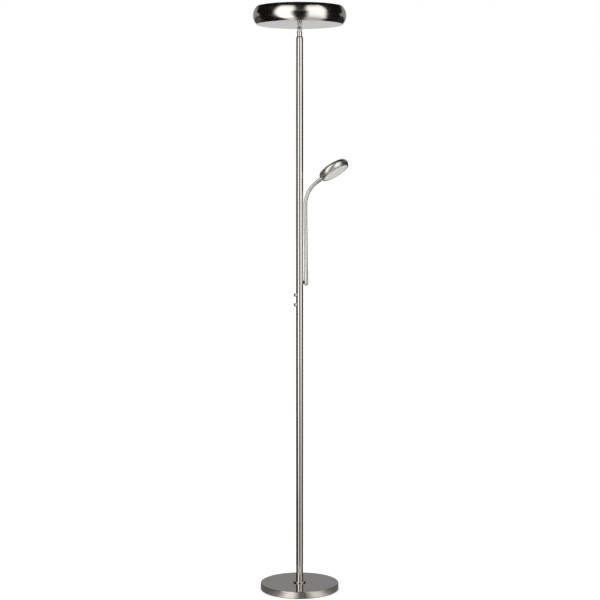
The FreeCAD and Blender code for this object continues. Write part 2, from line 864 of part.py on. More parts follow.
def spun_shell(label, floor_hole, floor_radius, corner, widest, lip_radius, depth, wall, opening, place):
    """A shell with a flat floor at Z = 0. Its lip turns in to the opening, or ends plain where that is None."""
    _, _, arc_radius, centre_radius, centre_height = side_arc(floor_radius, corner, widest, lip_radius, depth)
    inner_arc = arc_radius - wall

    def inside(height):
        drop = height - centre_height
        return centre_radius + root(inner_arc * inner_arc - drop * drop)

    outline = [(floor_hole, 0)] + shell_outside(floor_radius, corner, widest, lip_radius, depth)
    if opening is None:
        outline.append((inside(depth), depth, inner_arc, -1))
    else:
        outline.append((opening, depth))
        outline.append((opening, depth - wall))
        outline.append((inside(depth - wall), depth - wall, inner_arc, -1))
    outline.append((inside(wall), wall))
    outline.append((floor_hole, wall))
    return turned(label, outline, place)


# ---------------------------------------------------------------- main head

head_place = at(z=underside)
plate_bottom = s.head_wall + s.post_height
plate_top = plate_bottom + s.plate_thickness
post_radius = s.post_diameter / 2
screw_radius = s.screw_diameter / 2
head_opening_radius = s.head_opening_diameter / 2
diffuser_top = s.head_depth - s.diffuser_recess
diffuser_bottom = diffuser_top - s.diffuser_thickness


def around(label, outline, count, circle_diameter):
    """Copies of a turned piece, evenly spread on a circle in the head."""
    copies = []
    for number in range(count):
        angle = 2 * math.pi * number / count
        radius = circle_diameter.value / 2
        place = at(radius * math.cos(angle), radius * math.sin(angle), underside)
        copies.append(turned(f"{label}_{number + 1}", outline, place))
    return copies


def make_head_shell():
    """The spun shell, and what clamps it to the tongue's stud."""
    stud_hole = s.tongue_stud_diameter / 2 + s.slide_clearance
    keep(spun_shell(
        "head_shell", stud_hole, s.head_floor_diameter / 2, s.head_corner_round, s.head_diameter / 2,
        s.head_lip_diameter / 2, s.head_depth, s.head_wall, head_opening_radius, head_place))
    stiffener_top = s.head_wall + s.stiffener_thickness
    keep(turned("head_stiffener", tube_outline(
        stud_hole, s.stiffener_diameter / 2, s.head_wall, stiffener_top), head_place))
    nut = keep(new_body("head_nut", head_place))
    pad(nut, lambda sketch: draw_outline(sketch, hexagon(s.base_nut_flats)), "XY_Plane",
        s.head_nut_height, stiffener_top)
    pocket(nut, lambda sketch: draw_circle(sketch, 0, 0, stud_hole), "XY_Plane", symmetric=True)


def make_light_source():
    """Heat spreader on three posts, with the board and its light sources on top and the driver below."""
    bore = screw_radius + s.slide_clearance
    keep(group("plate_posts", around("plate_post", [
        (0, s.head_wall),
        (post_radius, s.head_wall),
        (post_radius, plate_bottom),
        (bore, plate_bottom),
        (bore, plate_bottom - s.screw_reach),
        (0, plate_bottom - s.screw_reach),
    ], POST_COUNT, s.post_circle_diameter)))
    screw_tip = plate_bottom - s.screw_reach + s.opening_clearance
    screw_head_radius = s.screw_head_diameter / 2
    keep(group("plate_screws", around("plate_screw", [
        (0, screw_tip),
        (screw_radius, screw_tip),
        (screw_radius, plate_top),
        (screw_head_radius, plate_top),
        (screw_head_radius, plate_top + s.screw_head_height),
        (0, plate_top + s.screw_head_height),
    ], POST_COUNT, s.post_circle_diameter)))

    plate = keep(turned("led_plate", tube_outline(0, s.plate_diameter / 2, plate_bottom, plate_top), head_place))
    for number in range(POST_COUNT):
        angle = 2 * math.pi * number / POST_COUNT
        x = s.post_circle_diameter / 2 * math.cos(angle)
        y = s.post_circle_diameter / 2 * math.sin(angle)
        pocket(plate, lambda sketch: draw_circle(sketch, x, y, bore), "XY_Plane", symmetric=True)

    board_surface = plate_top + s.led_board_thickness
    keep(turned("led_board", tube_outline(
        s.led_board_bore / 2, s.led_board_diameter / 2, plate_top, board_surface), head_place))
    chips = []
    for ring, count in enumerate(CHIPS_PER_RING):
        radius = (s.chip_ring_diameter + ring * s.chip_ring_step).value / 2
        for number in range(count):
            chip = doc.addObject("Part::Box", f"chip_{ring + 1}_{number + 1}")
            for side in ("Length", "Width"):
                bind(chip, side, s.chip_side)
            bind(chip, "Height", s.chip_height)
            turn = Rotation(UP, 360 * number / count)
            half = s.chip_side.value / 2
            corner = turn.multVec(Vector(radius - half, -half, 0))
            chip.Placement = Placement(corner + Vector(0, 0, (underside + board_surface).value), turn)
            chips.append(chip)
    keep(group("led_chips", chips))

    driver = keep(new_body("led_driver", head_place))
    half_length = s.driver_length / 2
    near = s.driver_offset - s.driver_width / 2
    far = s.driver_offset + s.driver_width / 2
    corner = s.driver_edge_round
    pad(driver, lambda sketch: draw_outline(sketch, [
        (-half_length + corner, near),
        (half_length - corner, near, corner, 1),
        (half_length, near + corner),
        (half_length, far - corner, corner, 1),
        (half_length - corner, far),
        (-half_length + corner, far, corner, 1),
        (-half_length, far - corner),
        (-half_length, near + corner, corner, 1),
    ]), "XY_Plane", s.driver_height, s.head_wall)


def make_head_top():
    """The white ring on the heat spreader, and the opal disc that lies on its flange inside the lip."""
    ring_radius = s.ring_diameter / 2
    flange_radius = head_opening_radius - s.opening_clearance
    keep(turned("head_ring", [
        (ring_radius - s.ring_wall, plate_top),
        (ring_radius, plate_top),
        (ring_radius, diffuser_bottom - s.ring_flange_thickness),
        (flange_radius, diffuser_bottom - s.ring_flange_thickness),
        (flange_radius, diffuser_bottom),
        (ring_radius - s.ring_wall, diffuser_bottom),
    ], head_place))
    keep(turned("head_diffuser", tube_outline(0, flange_radius, diffuser_bottom, diffuser_top), head_place))


# ---------------------------------------------------------------- reading arm

sleeve_radius = s.arm_sleeve_diameter / 2
arm_axis = pole_radius + s.arm_gap + sleeve_radius
arm_radius = s.arm_diameter / 2
arm_bore_radius = s.arm_bore / 2
ball_radius = s.link_ball_radius
cup_radius = ball_radius + s.link_cup_clearance
ball_bore_rise = root(ball_radius * ball_radius - arm_bore_radius * arm_bore_radius)
cup_bore_rise = root(cup_radius * cup_radius - arm_bore_radius * arm_bore_radius)
cup_rim_radius = root(cup_radius * cup_radius - s.link_rim_rise * s.link_rim_rise)
sleeve_top = s.arm_sleeve_length - s.arm_sleeve_foot
shoulder_step = arm_radius - ball_radius
half_turn = s.arm_upper_pitch / s.arm_bend_radius * (90 / math.pi)
upper_chord = 2 * s.arm_bend_radius * sine(half_turn)
ALONG_X = Rotation(UP, Vector(1, 0, 0))


def ball_end(joint):
    """The end of a link below a joint: the shoulder, and the hollow ball about the joint."""
    return [
        (arm_radius, joint - s.link_shoulder_drop),
        (ball_radius, joint - s.link_shoulder_drop + shoulder_step),
        (ball_radius, joint, ball_radius, 1),
        (arm_bore_radius, joint + ball_bore_rise),
    ]


def arm_joints():
    """Each joint of the arm as (place on the arm's axis, lean from upright in degrees)."""
    lean = -math.radians(s.arm_lean.value)
    start = Vector(arm_axis.value, 0, (arm_mount_height + sleeve_top + s.arm_first_joint).value)
    upright = Vector(math.sin(lean), 0, math.cos(lean))
    joints = [start + upright * (s.arm_lower_pitch.value * number) for number in range(LOWER_LINKS + 1)]
    radius = s.arm_bend_radius.value
    centre = joints[-1] + Vector(math.cos(lean), 0, -math.sin(lean)) * radius
    for number in range(1, UPPER_LINKS + 1):
        turn = lean + s.arm_upper_pitch.value / radius * number
        joints.append(centre + Vector(-math.cos(turn), 0, math.sin(turn)) * radius)
    return joints


def make_arm_mount():
    """The short stub on the pole, its hollow bolt and nut, and the round-ended sleeve that holds the arm."""
    post = doc.addObject("Part::Cylinder", "pole_saddle")
    bind(post, "Radius", pole_radius + s.saddle_clearance)
    sleeve_saddle = doc.addObject("Part::Cylinder", "sleeve_saddle")
    bind(sleeve_saddle, "Radius", sleeve_radius + s.saddle_clearance)
    for saddle, x in ((post, as_size(0)), (sleeve_saddle, arm_axis)):
        bind(saddle, "Height", 2 * s.spacer_diameter)
        bind(saddle, "Placement.Base.x", x)
        bind(saddle, "Placement.Base.z", arm_mount_height - s.spacer_diameter)
    place = at(z=arm_mount_height, rotation=ALONG_X)
    blank = turned("arm_spacer_blank", tube_outline(
        arm_bolt_radius + s.slide_clearance, s.spacer_diameter / 2, pole_bore_radius, arm_axis), place)
    saddles = doc.addObject("Part::MultiFuse", "arm_saddles")
    saddles.Shapes = [post, sleeve_saddle]
    spacer = doc.addObject("Part::Cut", "arm_spacer")
    spacer.Base = blank
    spacer.Tool = saddles
    keep(spacer)

    nut_end = pole_bore_radius - s.slide_clearance
    nut_start = nut_end - s.arm_nut_height - s.pole_wall
    keep(turned("arm_bolt", tube_outline(
        s.arm_bolt_bore / 2, arm_bolt_radius, nut_start, arm_axis - arm_bore_radius), place))
    bore = doc.addObject("Part::Cylinder", "pole_inside")
    bind(bore, "Radius", nut_end)
    bind(bore, "Height", 2 * s.arm_nut_diameter)
    bind(bore, "Placement.Base.z", arm_mount_height - s.arm_nut_diameter)
    nut_blank = turned("arm_nut_blank", tube_outline(
        arm_bolt_radius + s.saddle_clearance, s.arm_nut_diameter / 2, nut_start, pole_radius), place)
    nut = doc.addObject("Part::Common", "arm_nut")
    nut.Base = nut_blank
    nut.Tool = bore
    keep(nut)

    top_joint = sleeve_top + s.arm_first_joint
    sleeve = keep(turned("arm_sleeve", [
        (0, -s.arm_sleeve_foot, sleeve_radius, 1),
        (sleeve_radius, sleeve_radius - s.arm_sleeve_foot),
        (sleeve_radius, sleeve_top - s.arm_sleeve_chamfer),
        (sleeve_radius - s.arm_sleeve_chamfer, sleeve_top),
        (arm_radius, sleeve_top),
        *ball_end(top_joint),
        (arm_bore_radius, -arm_bolt_radius),
        (0, -arm_bolt_radius),
    ], at(arm_axis, 0, arm_mount_height)))
    pocket(sleeve, lambda sketch: draw_circle(sketch, 0, 0, arm_bolt_radius + s.slide_clearance), "YZ_Plane")


def make_links():
    """Ball-and-cup links with a bore for the lead. The cup of each one sits over the ball of the last."""
    joints = arm_joints()
    for number in range(LOWER_LINKS + UPPER_LINKS):
        along = joints[number + 1] - joints[number]
        lean = math.degrees(math.atan2(along.x, along.z))
        length = s.arm_lower_pitch if number < LOWER_LINKS else upper_chord
        place = Placement(joints[number], Rotation(Vector(0, 1, 0), lean))
        keep(turned(f"arm_link_{number + 1:02d}", [
            (cup_rim_radius, s.link_rim_rise),
            (arm_radius, s.link_rim_rise),
            *ball_end(length),
            (arm_bore_radius, cup_bore_rise, cup_radius, -1),
        ], place))


# ---------------------------------------------------------------- reading head

reading_radius = s.reading_diameter / 2
reading_shell_depth = s.reading_depth - s.bezel_thickness
reading_lip_radius = s.reading_lip_diameter / 2


def reading_head_places():
    """Where the ferrule starts, and where the middle of the head's back is. The head's Z axis is its light.

    The ferrule points at the middle of the head, and rises a little more steeply than the head lies.
    """
    last_joint = arm_joints()[-1]
    ferrule = Placement(last_joint, Rotation(Vector(0, 1, 0), 90 - s.ferrule_pitch.value))
    outward = ferrule.Rotation.multVec(UP)
    turn = Rotation(Vector(0, 1, 0), 180 - s.reading_pitch.value) * Rotation(Vector(1, 0, 0), s.reading_roll.value)
    centre = last_joint + outward * (s.reading_ferrule_length + reading_radius).value
    back = centre - turn.multVec(UP) * (s.reading_depth.value / 2)
    return ferrule, Placement(back, turn)


def reading_shell_shape(widest_extra):
    return (s.reading_floor_diameter / 2, s.reading_corner_round, reading_radius + widest_extra,
            reading_lip_radius, reading_shell_depth)


def sag(arc_radius, reach):
    """How far an arc falls back at this distance from its middle."""
    return arc_radius - root(arc_radius * arc_radius - reach * reach)


def make_reading_joint(ferrule_place, back_place):
    """The ferrule at the end of the arm fits the head's round side, and a hollow screw holds it from inside."""
    taper = s.reading_ferrule_taper
    side_round = side_arc(*reading_shell_shape(as_size(0)))[2]
    off_middle = reading_radius * sine(s.ferrule_pitch - s.reading_pitch) * cosine(s.reading_roll)
    ferrule_radius = s.reading_ferrule_diameter / 2
    hollow_screw_radius = s.reading_screw_diameter / 2
    screw_start = s.reading_ferrule_length - s.reading_screw_grip
    end = s.reading_ferrule_length + sag(side_round, off_middle + ferrule_radius)
    blank = turned("reading_ferrule_blank", [
        (cup_rim_radius, s.link_rim_rise),
        (arm_radius, s.link_rim_rise),
        (ferrule_radius, s.link_rim_rise + taper),
        (ferrule_radius, end),
        (hollow_screw_radius + s.saddle_clearance, end),
        (hollow_screw_radius + s.saddle_clearance, screw_start),
        (arm_bore_radius, screw_start),
        (arm_bore_radius, cup_bore_rise, cup_radius, -1),
    ], ferrule_place)
    envelope = turned("reading_envelope", [
        (0, 0), *shell_outside(*reading_shell_shape(s.saddle_clearance)), (0, reading_shell_depth),
    ], back_place)
    ferrule = doc.addObject("Part::Cut", "reading_ferrule")
    ferrule.Base = blank
    ferrule.Tool = envelope
    keep(ferrule)

    screw_head_radius = s.reading_screw_head_diameter / 2
    seat_drop = sag(side_round - s.reading_wall, off_middle + screw_head_radius)
    head_start = s.reading_ferrule_length + s.reading_wall + seat_drop + s.opening_clearance
    keep(turned("reading_screw", [
        (arm_bore_radius, screw_start + s.slide_clearance),
        (hollow_screw_radius, screw_start + s.slide_clearance),
        (hollow_screw_radius, head_start),
        (screw_head_radius, head_start),
        (screw_head_radius, head_start + s.reading_screw_head_height),
        (arm_bore_radius, head_start + s.reading_screw_head_height),
    ], ferrule_place))
    return turned("reading_shell_hole", [
        (0, screw_start),
        (hollow_screw_radius + s.slide_clearance, screw_start),
        (hollow_screw_radius + s.slide_clearance, head_start),
        (0, head_start),
    ], ferrule_place)


def make_reading_head():
    """The small spun shell, its heat spreader and board, and the opal disc in its ring."""
    ferrule_place, place = reading_head_places()
    floor_radius, corner, widest, lip_radius, depth = reading_shell_shape(as_size(0))
    shell = doc.addObject("Part::Cut", "reading_shell")
    shell.Base = spun_shell(
        "reading_shell_blank", 0, floor_radius, corner, widest, lip_radius, depth, s.reading_wall, None, place)
    shell.Tool = make_reading_joint(ferrule_place, place)
    keep(shell)

    _, _, arc_radius, centre_radius, centre_height = side_arc(floor_radius, corner, widest, lip_radius, depth)
    inner_arc = arc_radius - s.reading_wall
    drop = depth - centre_height
    mouth = centre_radius + root(inner_arc * inner_arc - drop * drop)
    skirt_radius = mouth - s.slide_clearance
    seat_radius = skirt_radius - s.bezel_skirt_wall
    keep(turned("reading_bezel", [
        (seat_radius - s.bezel_lip, depth),
        (seat_radius, depth),
        (seat_radius, depth - s.bezel_skirt_depth),
        (skirt_radius, depth - s.bezel_skirt_depth),
        (skirt_radius, depth),
        (lip_radius, depth),
        (lip_radius - s.bezel_thickness / 2, s.reading_depth),
        (seat_radius - s.bezel_lip, s.reading_depth),
    ], place))
    keep(turned("reading_diffuser", tube_outline(
        0, seat_radius - s.slide_clearance, depth - s.reading_diffuser_thickness, depth), place))

    plate_radius = s.reading_plate_diameter / 2
    wall = s.reading_plate_wall
    plate_floor = s.reading_wall
    plate_roof = plate_floor + s.reading_plate_height
    keep(turned("reading_plate", [
        (plate_radius - wall, plate_floor),
        (plate_radius, plate_floor),
        (plate_radius, plate_roof),
        (0, plate_roof),
        (0, plate_roof - wall),
        (plate_radius - wall, plate_roof - wall),
    ], place))
    keep(turned("reading_board", tube_outline(
        0, plate_radius - s.reading_board_inset, plate_roof, plate_roof + s.reading_board_thickness), place))


# ---------------------------------------------------------------- the whole lamp


def check_and_write():
    """Stop on any failed object, then write each node's STEP file."""
    doc.recompute()
    for thing in doc.Objects:
        if "Invalid" in thing.State or "Error" in thing.State:
            raise RuntimeError(f"{thing.Label} did not build: {thing.State}")
    labels = [node.Label for node in nodes]
    if len(set(labels)) != len(labels):
        raise RuntimeError("two nodes share a label")
    for node in nodes:
        if node.Shape.isNull() or not node.Shape.isValid():
            raise RuntimeError(f"{node.Label} has no valid shape")
    os.makedirs("parts", exist_ok=True)
    for node in nodes:
        node.Shape.exportStep(os.path.join("parts", f"{node.Label}.step"))
    print(f"{len(nodes)} nodes")


make_foot()
make_foot_fixing()
make_inlet()
make_leads()
make_pole()
make_dimmers()
make_neck()
make_tilt_joint()
make_tongue()
make_head_shell()
make_light_source()
make_head_top()
make_arm_mount()
make_links()
make_reading_head()
check_and_write()
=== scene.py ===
# %% [markdown]
# # A torchiere floor lamp with a reading light
# A wide shallow head throws its light at the ceiling, and a small head on a flexible arm lights a book. The
# solids come from a CAD model, which is loaded first and stays as it is. Blender adds what a CAD model leaves
# out: finely turned satin nickel, the wound arm, opal plastic, and a small photo studio round the lamp.

# %% Load the frame
import math
from itertools import accumulate

import bmesh
import bpy
from mathutils import Matrix, Vector


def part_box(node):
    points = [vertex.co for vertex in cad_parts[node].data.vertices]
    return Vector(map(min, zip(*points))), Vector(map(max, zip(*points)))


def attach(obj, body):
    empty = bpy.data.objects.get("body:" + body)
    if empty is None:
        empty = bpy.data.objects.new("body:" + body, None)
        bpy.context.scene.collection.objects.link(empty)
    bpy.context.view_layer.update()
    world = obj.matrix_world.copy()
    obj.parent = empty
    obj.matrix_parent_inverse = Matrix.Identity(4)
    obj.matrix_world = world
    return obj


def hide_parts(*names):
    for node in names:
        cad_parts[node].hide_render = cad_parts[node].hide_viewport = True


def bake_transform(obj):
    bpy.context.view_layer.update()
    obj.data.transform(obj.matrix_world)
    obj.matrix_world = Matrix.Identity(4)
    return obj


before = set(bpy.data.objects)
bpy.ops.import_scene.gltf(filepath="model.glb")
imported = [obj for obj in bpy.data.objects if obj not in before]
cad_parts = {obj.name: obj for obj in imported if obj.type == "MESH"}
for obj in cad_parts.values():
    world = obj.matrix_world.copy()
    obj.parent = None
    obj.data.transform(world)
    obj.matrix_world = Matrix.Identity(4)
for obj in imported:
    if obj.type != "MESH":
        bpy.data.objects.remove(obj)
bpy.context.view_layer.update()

scene = bpy.context.scene

# %% [markdown]
# ## The camera
# The photograph was taken from about 4.8 m with a long lens, and all its uprights are parallel. So the camera
# looks straight ahead, and the picture is moved down with the lens shift, the way an architect's camera does it.

# %% Camera
PICTURE_PIXELS = 600
FOCAL_PIXELS = 1544
HORIZON_ABOVE_MIDDLE = 116
LAMP_LEFT_OF_MIDDLE = 0.36
CAMERA_DISTANCE, CAMERA_HEIGHT = 4.776, 1.252

lens = bpy.data.cameras.new("studio_camera")
lens.sensor_width = 36
lens.lens = FOCAL_PIXELS / PICTURE_PIXELS * lens.sensor_width
lens.shift_y = -HORIZON_ABOVE_MIDDLE / PICTURE_PIXELS
lens.shift_x = LAMP_LEFT_OF_MIDDLE / PICTURE_PIXELS
camera = bpy.data.objects.new("studio_camera", lens)
camera.location = (0, -CAMERA_DISTANCE, CAMERA_HEIGHT)
camera.rotation_euler = (math.radians(90), 0, 0)
scene.collection.objects.link(camera)
scene.camera = camera
scene.view_settings.view_transform = "Standard"
print("lens", round(lens.lens, 2), "mm")

# %% [markdown]
# ## Small tools
# Every material below is a tree of nodes, and every piece is a mesh whose place is in its points. A few short
# functions keep that readable: they clear a tree, add nodes with their inputs, and make an object of a mesh.

# %% Tools for nodes and objects
MM = 0.001


def empty_tree(owner):
    """The tree of nodes of a material or a world, with nothing in it."""
    owner.use_nodes = True
    owner.node_tree.nodes.clear()
    return owner.node_tree


def fill(tree, node, inputs):
    """Fills inputs of a node by name or number. Each gets a value, or a socket of another node."""
    for key, value in inputs.items():
        if isinstance(value, bpy.types.NodeSocket):
            tree.links.new(value, node.inputs[key])
        else:
            node.inputs[key].default_value = value


def add(tree, kind, inputs=None, **settings):
    """Adds a node with its settings and its inputs."""
    node = tree.nodes.new(kind)
    for key, value in settings.items():
        setattr(node, key, value)
    fill(tree, node, inputs or {})
    return node


def calc(tree, operation, *values):
    """One step of arithmetic on numbers or sockets."""
    return add(tree, "ShaderNodeMath", dict(enumerate(values)), operation=operation).outputs[0]


def show(name, mesh, material=None):
    """An object for a finished mesh, at the origin."""
    piece = bpy.data.objects.new(name, mesh)
    scene.collection.objects.link(piece)
    if material:
        mesh.materials.append(material)
    return piece


def in_mm(*values):
    return Vector(values) * MM


print("one millimetre is", MM, "m")

# %% [markdown]
# ## The room
# The background of a product photograph is plain white. Here it is the world and a floor that add a white of
# strength one, but only to what the camera, a mirror or a glass sees of them. What falls on the object stays at
# a plain level, and the floor still gets darker where the lamp keeps the light off it.

# %% White world
ROOM_LIGHT = 0.9
WHITE = (1, 1, 1, 1)


def seen_directly(tree):
    """One for camera, mirror and glass rays, and nought for light that falls on something matt."""
    path = add(tree, "ShaderNodeLightPath").outputs
    seen = calc(tree, "MAXIMUM", path["Is Camera Ray"], path["Is Glossy Ray"])
    return calc(tree, "MAXIMUM", seen, path["Is Transmission Ray"])


world = bpy.data.worlds.new("white_room")
scene.world = world
tree = empty_tree(world)
strength = add(tree, "ShaderNodeMapRange", {"Value": seen_directly(tree), "To Min": ROOM_LIGHT, "To Max": 1.0})
background = add(tree, "ShaderNodeBackground", {"Color": WHITE, "Strength": strength.outputs[0]})
add(tree, "ShaderNodeOutputWorld", {"Surface": background.outputs[0]})
world.cycles.sampling_method = "NONE"
print("room light", ROOM_LIGHT)

# %% Pale floor
FLOOR_HALF = 30
FLOOR_GREY, FLOOR_GLOW = 0.7, 0.42

floor_paint = bpy.data.materials.new("pale_floor")
tree = empty_tree(floor_paint)
matt = add(tree, "ShaderNodeBsdfDiffuse", {"Color": (FLOOR_GREY, FLOOR_GREY, FLOOR_GREY, 1)})
white = calc(tree, "MULTIPLY", seen_directly(tree), FLOOR_GLOW)
glow = add(tree, "ShaderNodeEmission", {"Color": WHITE, "Strength": white})
both = add(tree, "ShaderNodeAddShader", {0: matt.outputs[0], 1: glow.outputs[0]})
add(tree, "ShaderNodeOutputMaterial", {"Surface": both.outputs[0]})
floor_paint.cycles.emission_sampling = "NONE"

mesh = bpy.data.meshes.new("floor")
mesh.from_pydata([(x * FLOOR_HALF, y * FLOOR_HALF, 0) for x, y in ((-1, -1), (1, -1), (1, 1), (-1, 1))],
                 [], [(0, 1, 2, 3)])
floor = show("floor", mesh, floor_paint)
print("floor of", 2 * FLOOR_HALF, "m")

# %% [markdown]
# ## Cards round the lamp
# Metal has no look of its own: it shows what stands round it. In the photograph every upright surface has the
# same bands, a thin dark line in the middle, a bright band at each side of it, then black, and grey at the very
# edge. These are the cards of a studio: two tall soft boxes in front, black cards at the sides, a dark gap where
# the photographer stands, and grey paper behind. Only reflections see them, so they throw no shadow and hide
# nothing from the camera.

# %% Tools for cards
CARD_REACH, CARD_TOP = 1.35, 3.5
CARD_COLUMNS = 24
CARD_ROWS = (0.001, 0.4, 0.7, 1.2, 1.8, 2.0, 2.5, CARD_TOP)


def ramp_stops(ramp, stops):
    """Fills a colour ramp. stops are (position, brightness, warmth), and it gives back the brightest."""
    elements = ramp.color_ramp.elements
    while len(elements) < len(stops):
        elements.new(0.5)
    top = max(brightness for _, brightness, _ in stops)
    for element, (position, brightness, warmth) in zip(elements, stops):
        share = brightness / top
        element.position = position
        element.color = (share, share * (1 - warmth * 0.5), share * (1 - warmth), 1)
    return top


def glowing(material, colour, strength):
    """Makes the material of a card or sheet give off this light, and finishes its tree."""
    tree = material.node_tree
    glow = add(tree, "ShaderNodeEmission", {"Color": colour, "Strength": strength})
    add(tree, "ShaderNodeOutputMaterial", {"Surface": glow.outputs[0]})
    material.cycles.emission_sampling = "NONE"


def card_finish(name, stops, feather):
    """Paper or light whose brightness changes with height. stops are (metres, brightness, warmth)."""
    material = bpy.data.materials.new(name)
    tree = empty_tree(material)
    place = add(tree, "ShaderNodeSeparateXYZ", {0: add(tree, "ShaderNodeUVMap", uv_map="sweep").outputs[0]}).outputs
    ramp = add(tree, "ShaderNodeValToRGB", {0: place["Y"]})
    strength = ramp_stops(ramp, [(height / CARD_TOP, brightness, warmth) for height, brightness, warmth in stops])
    if feather:
        nearer = calc(tree, "MINIMUM", place["X"], calc(tree, "SUBTRACT", 1.0, place["X"]))
        strength = add(tree, "ShaderNodeMapRange", {
            "Value": nearer, "From Max": feather, "To Min": 0.01, "To Max": strength},
            interpolation_type="SMOOTHSTEP").outputs[0]
    glowing(material, ramp.outputs[0], strength)
    return material


def only_in_reflections(piece):
    piece.visible_camera = False
    piece.visible_diffuse = False
    piece.visible_shadow = False
    piece.visible_transmission = False
    piece.visible_volume_scatter = False


def level(edge, height):
    """Where an edge stands at a height. An upright edge is one azimuth, another has (height, azimuth) pairs."""
    if not isinstance(edge, list):
        return edge
    for (low, first), (high, second) in zip(edge, edge[1:]):
        if height <= high:
            return first + (second - first) * max(0, height - low) / (high - low)
    return edge[-1][1]


def card(name, start, end, stops, feather=0):
    """An upright card between two azimuths in degrees. 0 is towards the camera, and 90 is to its right."""
    points, places = [], []
    for height in CARD_ROWS:
        first, last = level(start, height), level(end, height)
        for column in range(CARD_COLUMNS + 1):
            turn = math.radians(first + (last - first) * column / CARD_COLUMNS)
            points.append((CARD_REACH * math.sin(turn), -CARD_REACH * math.cos(turn), height))
            places.append((column / CARD_COLUMNS, height / CARD_TOP))
    row = CARD_COLUMNS + 1
    mesh = bpy.data.meshes.new(name)
    mesh.from_pydata(points, [], [
        (n + row * up, n + 1 + row * up, n + 1 + row * (up + 1), n + row * (up + 1))
        for up in range(len(CARD_ROWS) - 1) for n in range(CARD_COLUMNS)])
    layer = mesh.uv_layers.new(name="sweep")
    for loop in mesh.loops:
        layer.data[loop.index].uv = places[loop.vertex_index]
    only_in_reflections(show(name, mesh, card_finish(name, stops, feather)))


print("a card has", CARD_COLUMNS * (len(CARD_ROWS) - 1), "faces")

# %% [markdown]
# The edges of the cards aren't upright, because the bands on the pole get wider and narrower with height. Each
# edge is a list of heights in metres and azimuths in degrees. A bright card reaches SOFT degrees past its edge
# and fades over twice that, so the middle of the fade lies on the edge.

# %% Cards
SOFT = 8
GAP_LEFT = [(0, -17), (0.7, -19), (1.8, -19), (2.0, -13), (2.5, -13), (3.5, -20)]
GAP_RIGHT = [(0, 19), (0.7, 21), (1.8, 21), (2.0, 16), (2.5, 17), (3.5, 26)]
BOX_LEFT = [(0, -50), (0.4, -52), (1.2, -59), (3.5, -58)]
BOX_RIGHT = [(0, 82), (0.7, 79), (1.2, 67), (1.8, 62), (2.0, 64), (3.5, 64)]
# How many degrees wide the two soft boxes are taken to be, where their fade becomes a share of their width.
BOX_LEFT_SPAN, BOX_RIGHT_SPAN = 63, 70
BLACK_EDGE = [(0, 126), (1.2, 116), (1.8, 112), (2.0, 126), (2.5, 138), (3.5, 150)]
PAPER_EDGE = 160


def moved(edge, by):
    return [(height, azimuth + by) for height, azimuth in edge]


def mirrored(edge):
    return [(height, -azimuth) for height, azimuth in edge]


DARK = [(0, 0.01, 0.1), (0.8, 0.008, 0.1)]
card("gap_card", moved(GAP_LEFT, SOFT), moved(GAP_RIGHT, -SOFT), [
    (0, 0.01, 0.1), (1.8, 0.01, 0.1), (1.95, 0.1, 0.1), (2.3, 0.02, 0.1), (3.4, 0.01, 0.1)])
card("soft_box_left", moved(BOX_LEFT, -SOFT), moved(GAP_LEFT, SOFT), [
    (0, 1.15, 0.14), (0.4, 1.7, 0.1), (0.7, 1.8, 0.06), (1.1, 1.45, 0.02), (1.6, 1.6, 0.02), (2.4, 1.6, 0.02),
    (3.4, 0.7, 0.02)], 2 * SOFT / BOX_LEFT_SPAN)
card("soft_box_right", moved(GAP_RIGHT, -SOFT), moved(BOX_RIGHT, SOFT), [
    (0, 0.6, 0.14), (0.4, 0.8, 0.1), (0.7, 1.03, 0.06), (1.2, 1.38, 0.02), (1.9, 1.5, 0.02), (2.4, 1.5, 0.02),
    (3.4, 0.8, 0.02)], 2 * SOFT / BOX_RIGHT_SPAN)
card("black_card_left", mirrored(BLACK_EDGE), moved(BOX_LEFT, -SOFT), DARK)
card("black_card_right", moved(BOX_RIGHT, SOFT), BLACK_EDGE, DARK)
card("side_paper_left", -PAPER_EDGE, mirrored(BLACK_EDGE), [
    (0, 0.02, 0.1), (1.1, 0.03, 0.1), (1.3, 0.12, 0.1), (1.6, 0.05, 0.05), (1.75, 0.32, 0.0), (2.2, 0.32, 0.0),
    (2.4, 0.02, 0.0)])
card("side_paper_right", BLACK_EDGE, PAPER_EDGE, [
    (0, 0.02, 0.1), (1.6, 0.03, 0.05), (1.75, 0.32, 0.0), (2.2, 0.32, 0.0), (2.4, 0.02, 0.0)])
card("back_paper", PAPER_EDGE, 360 - PAPER_EDGE, [
    (0, 0.28, 0.02), (0.55, 0.28, 0.02), (1.2, 0.66, 0.0), (2.2, 0.66, 0.0), (2.4, 0.03, 0.0)])
print("cards up to", CARD_TOP, "m")

# %% [markdown]
# The foot's side and the pole's lower end look down at the floor, which was as dark as the cards but softer: two
# pools of light lie on it in front of the lamp. Two flat rings with a pattern that goes round the lamp give them.

# %% Rings on the floor
RING_SIDES, RING_HEIGHT = 64, 0.0009
RING_EDGE = 0.3


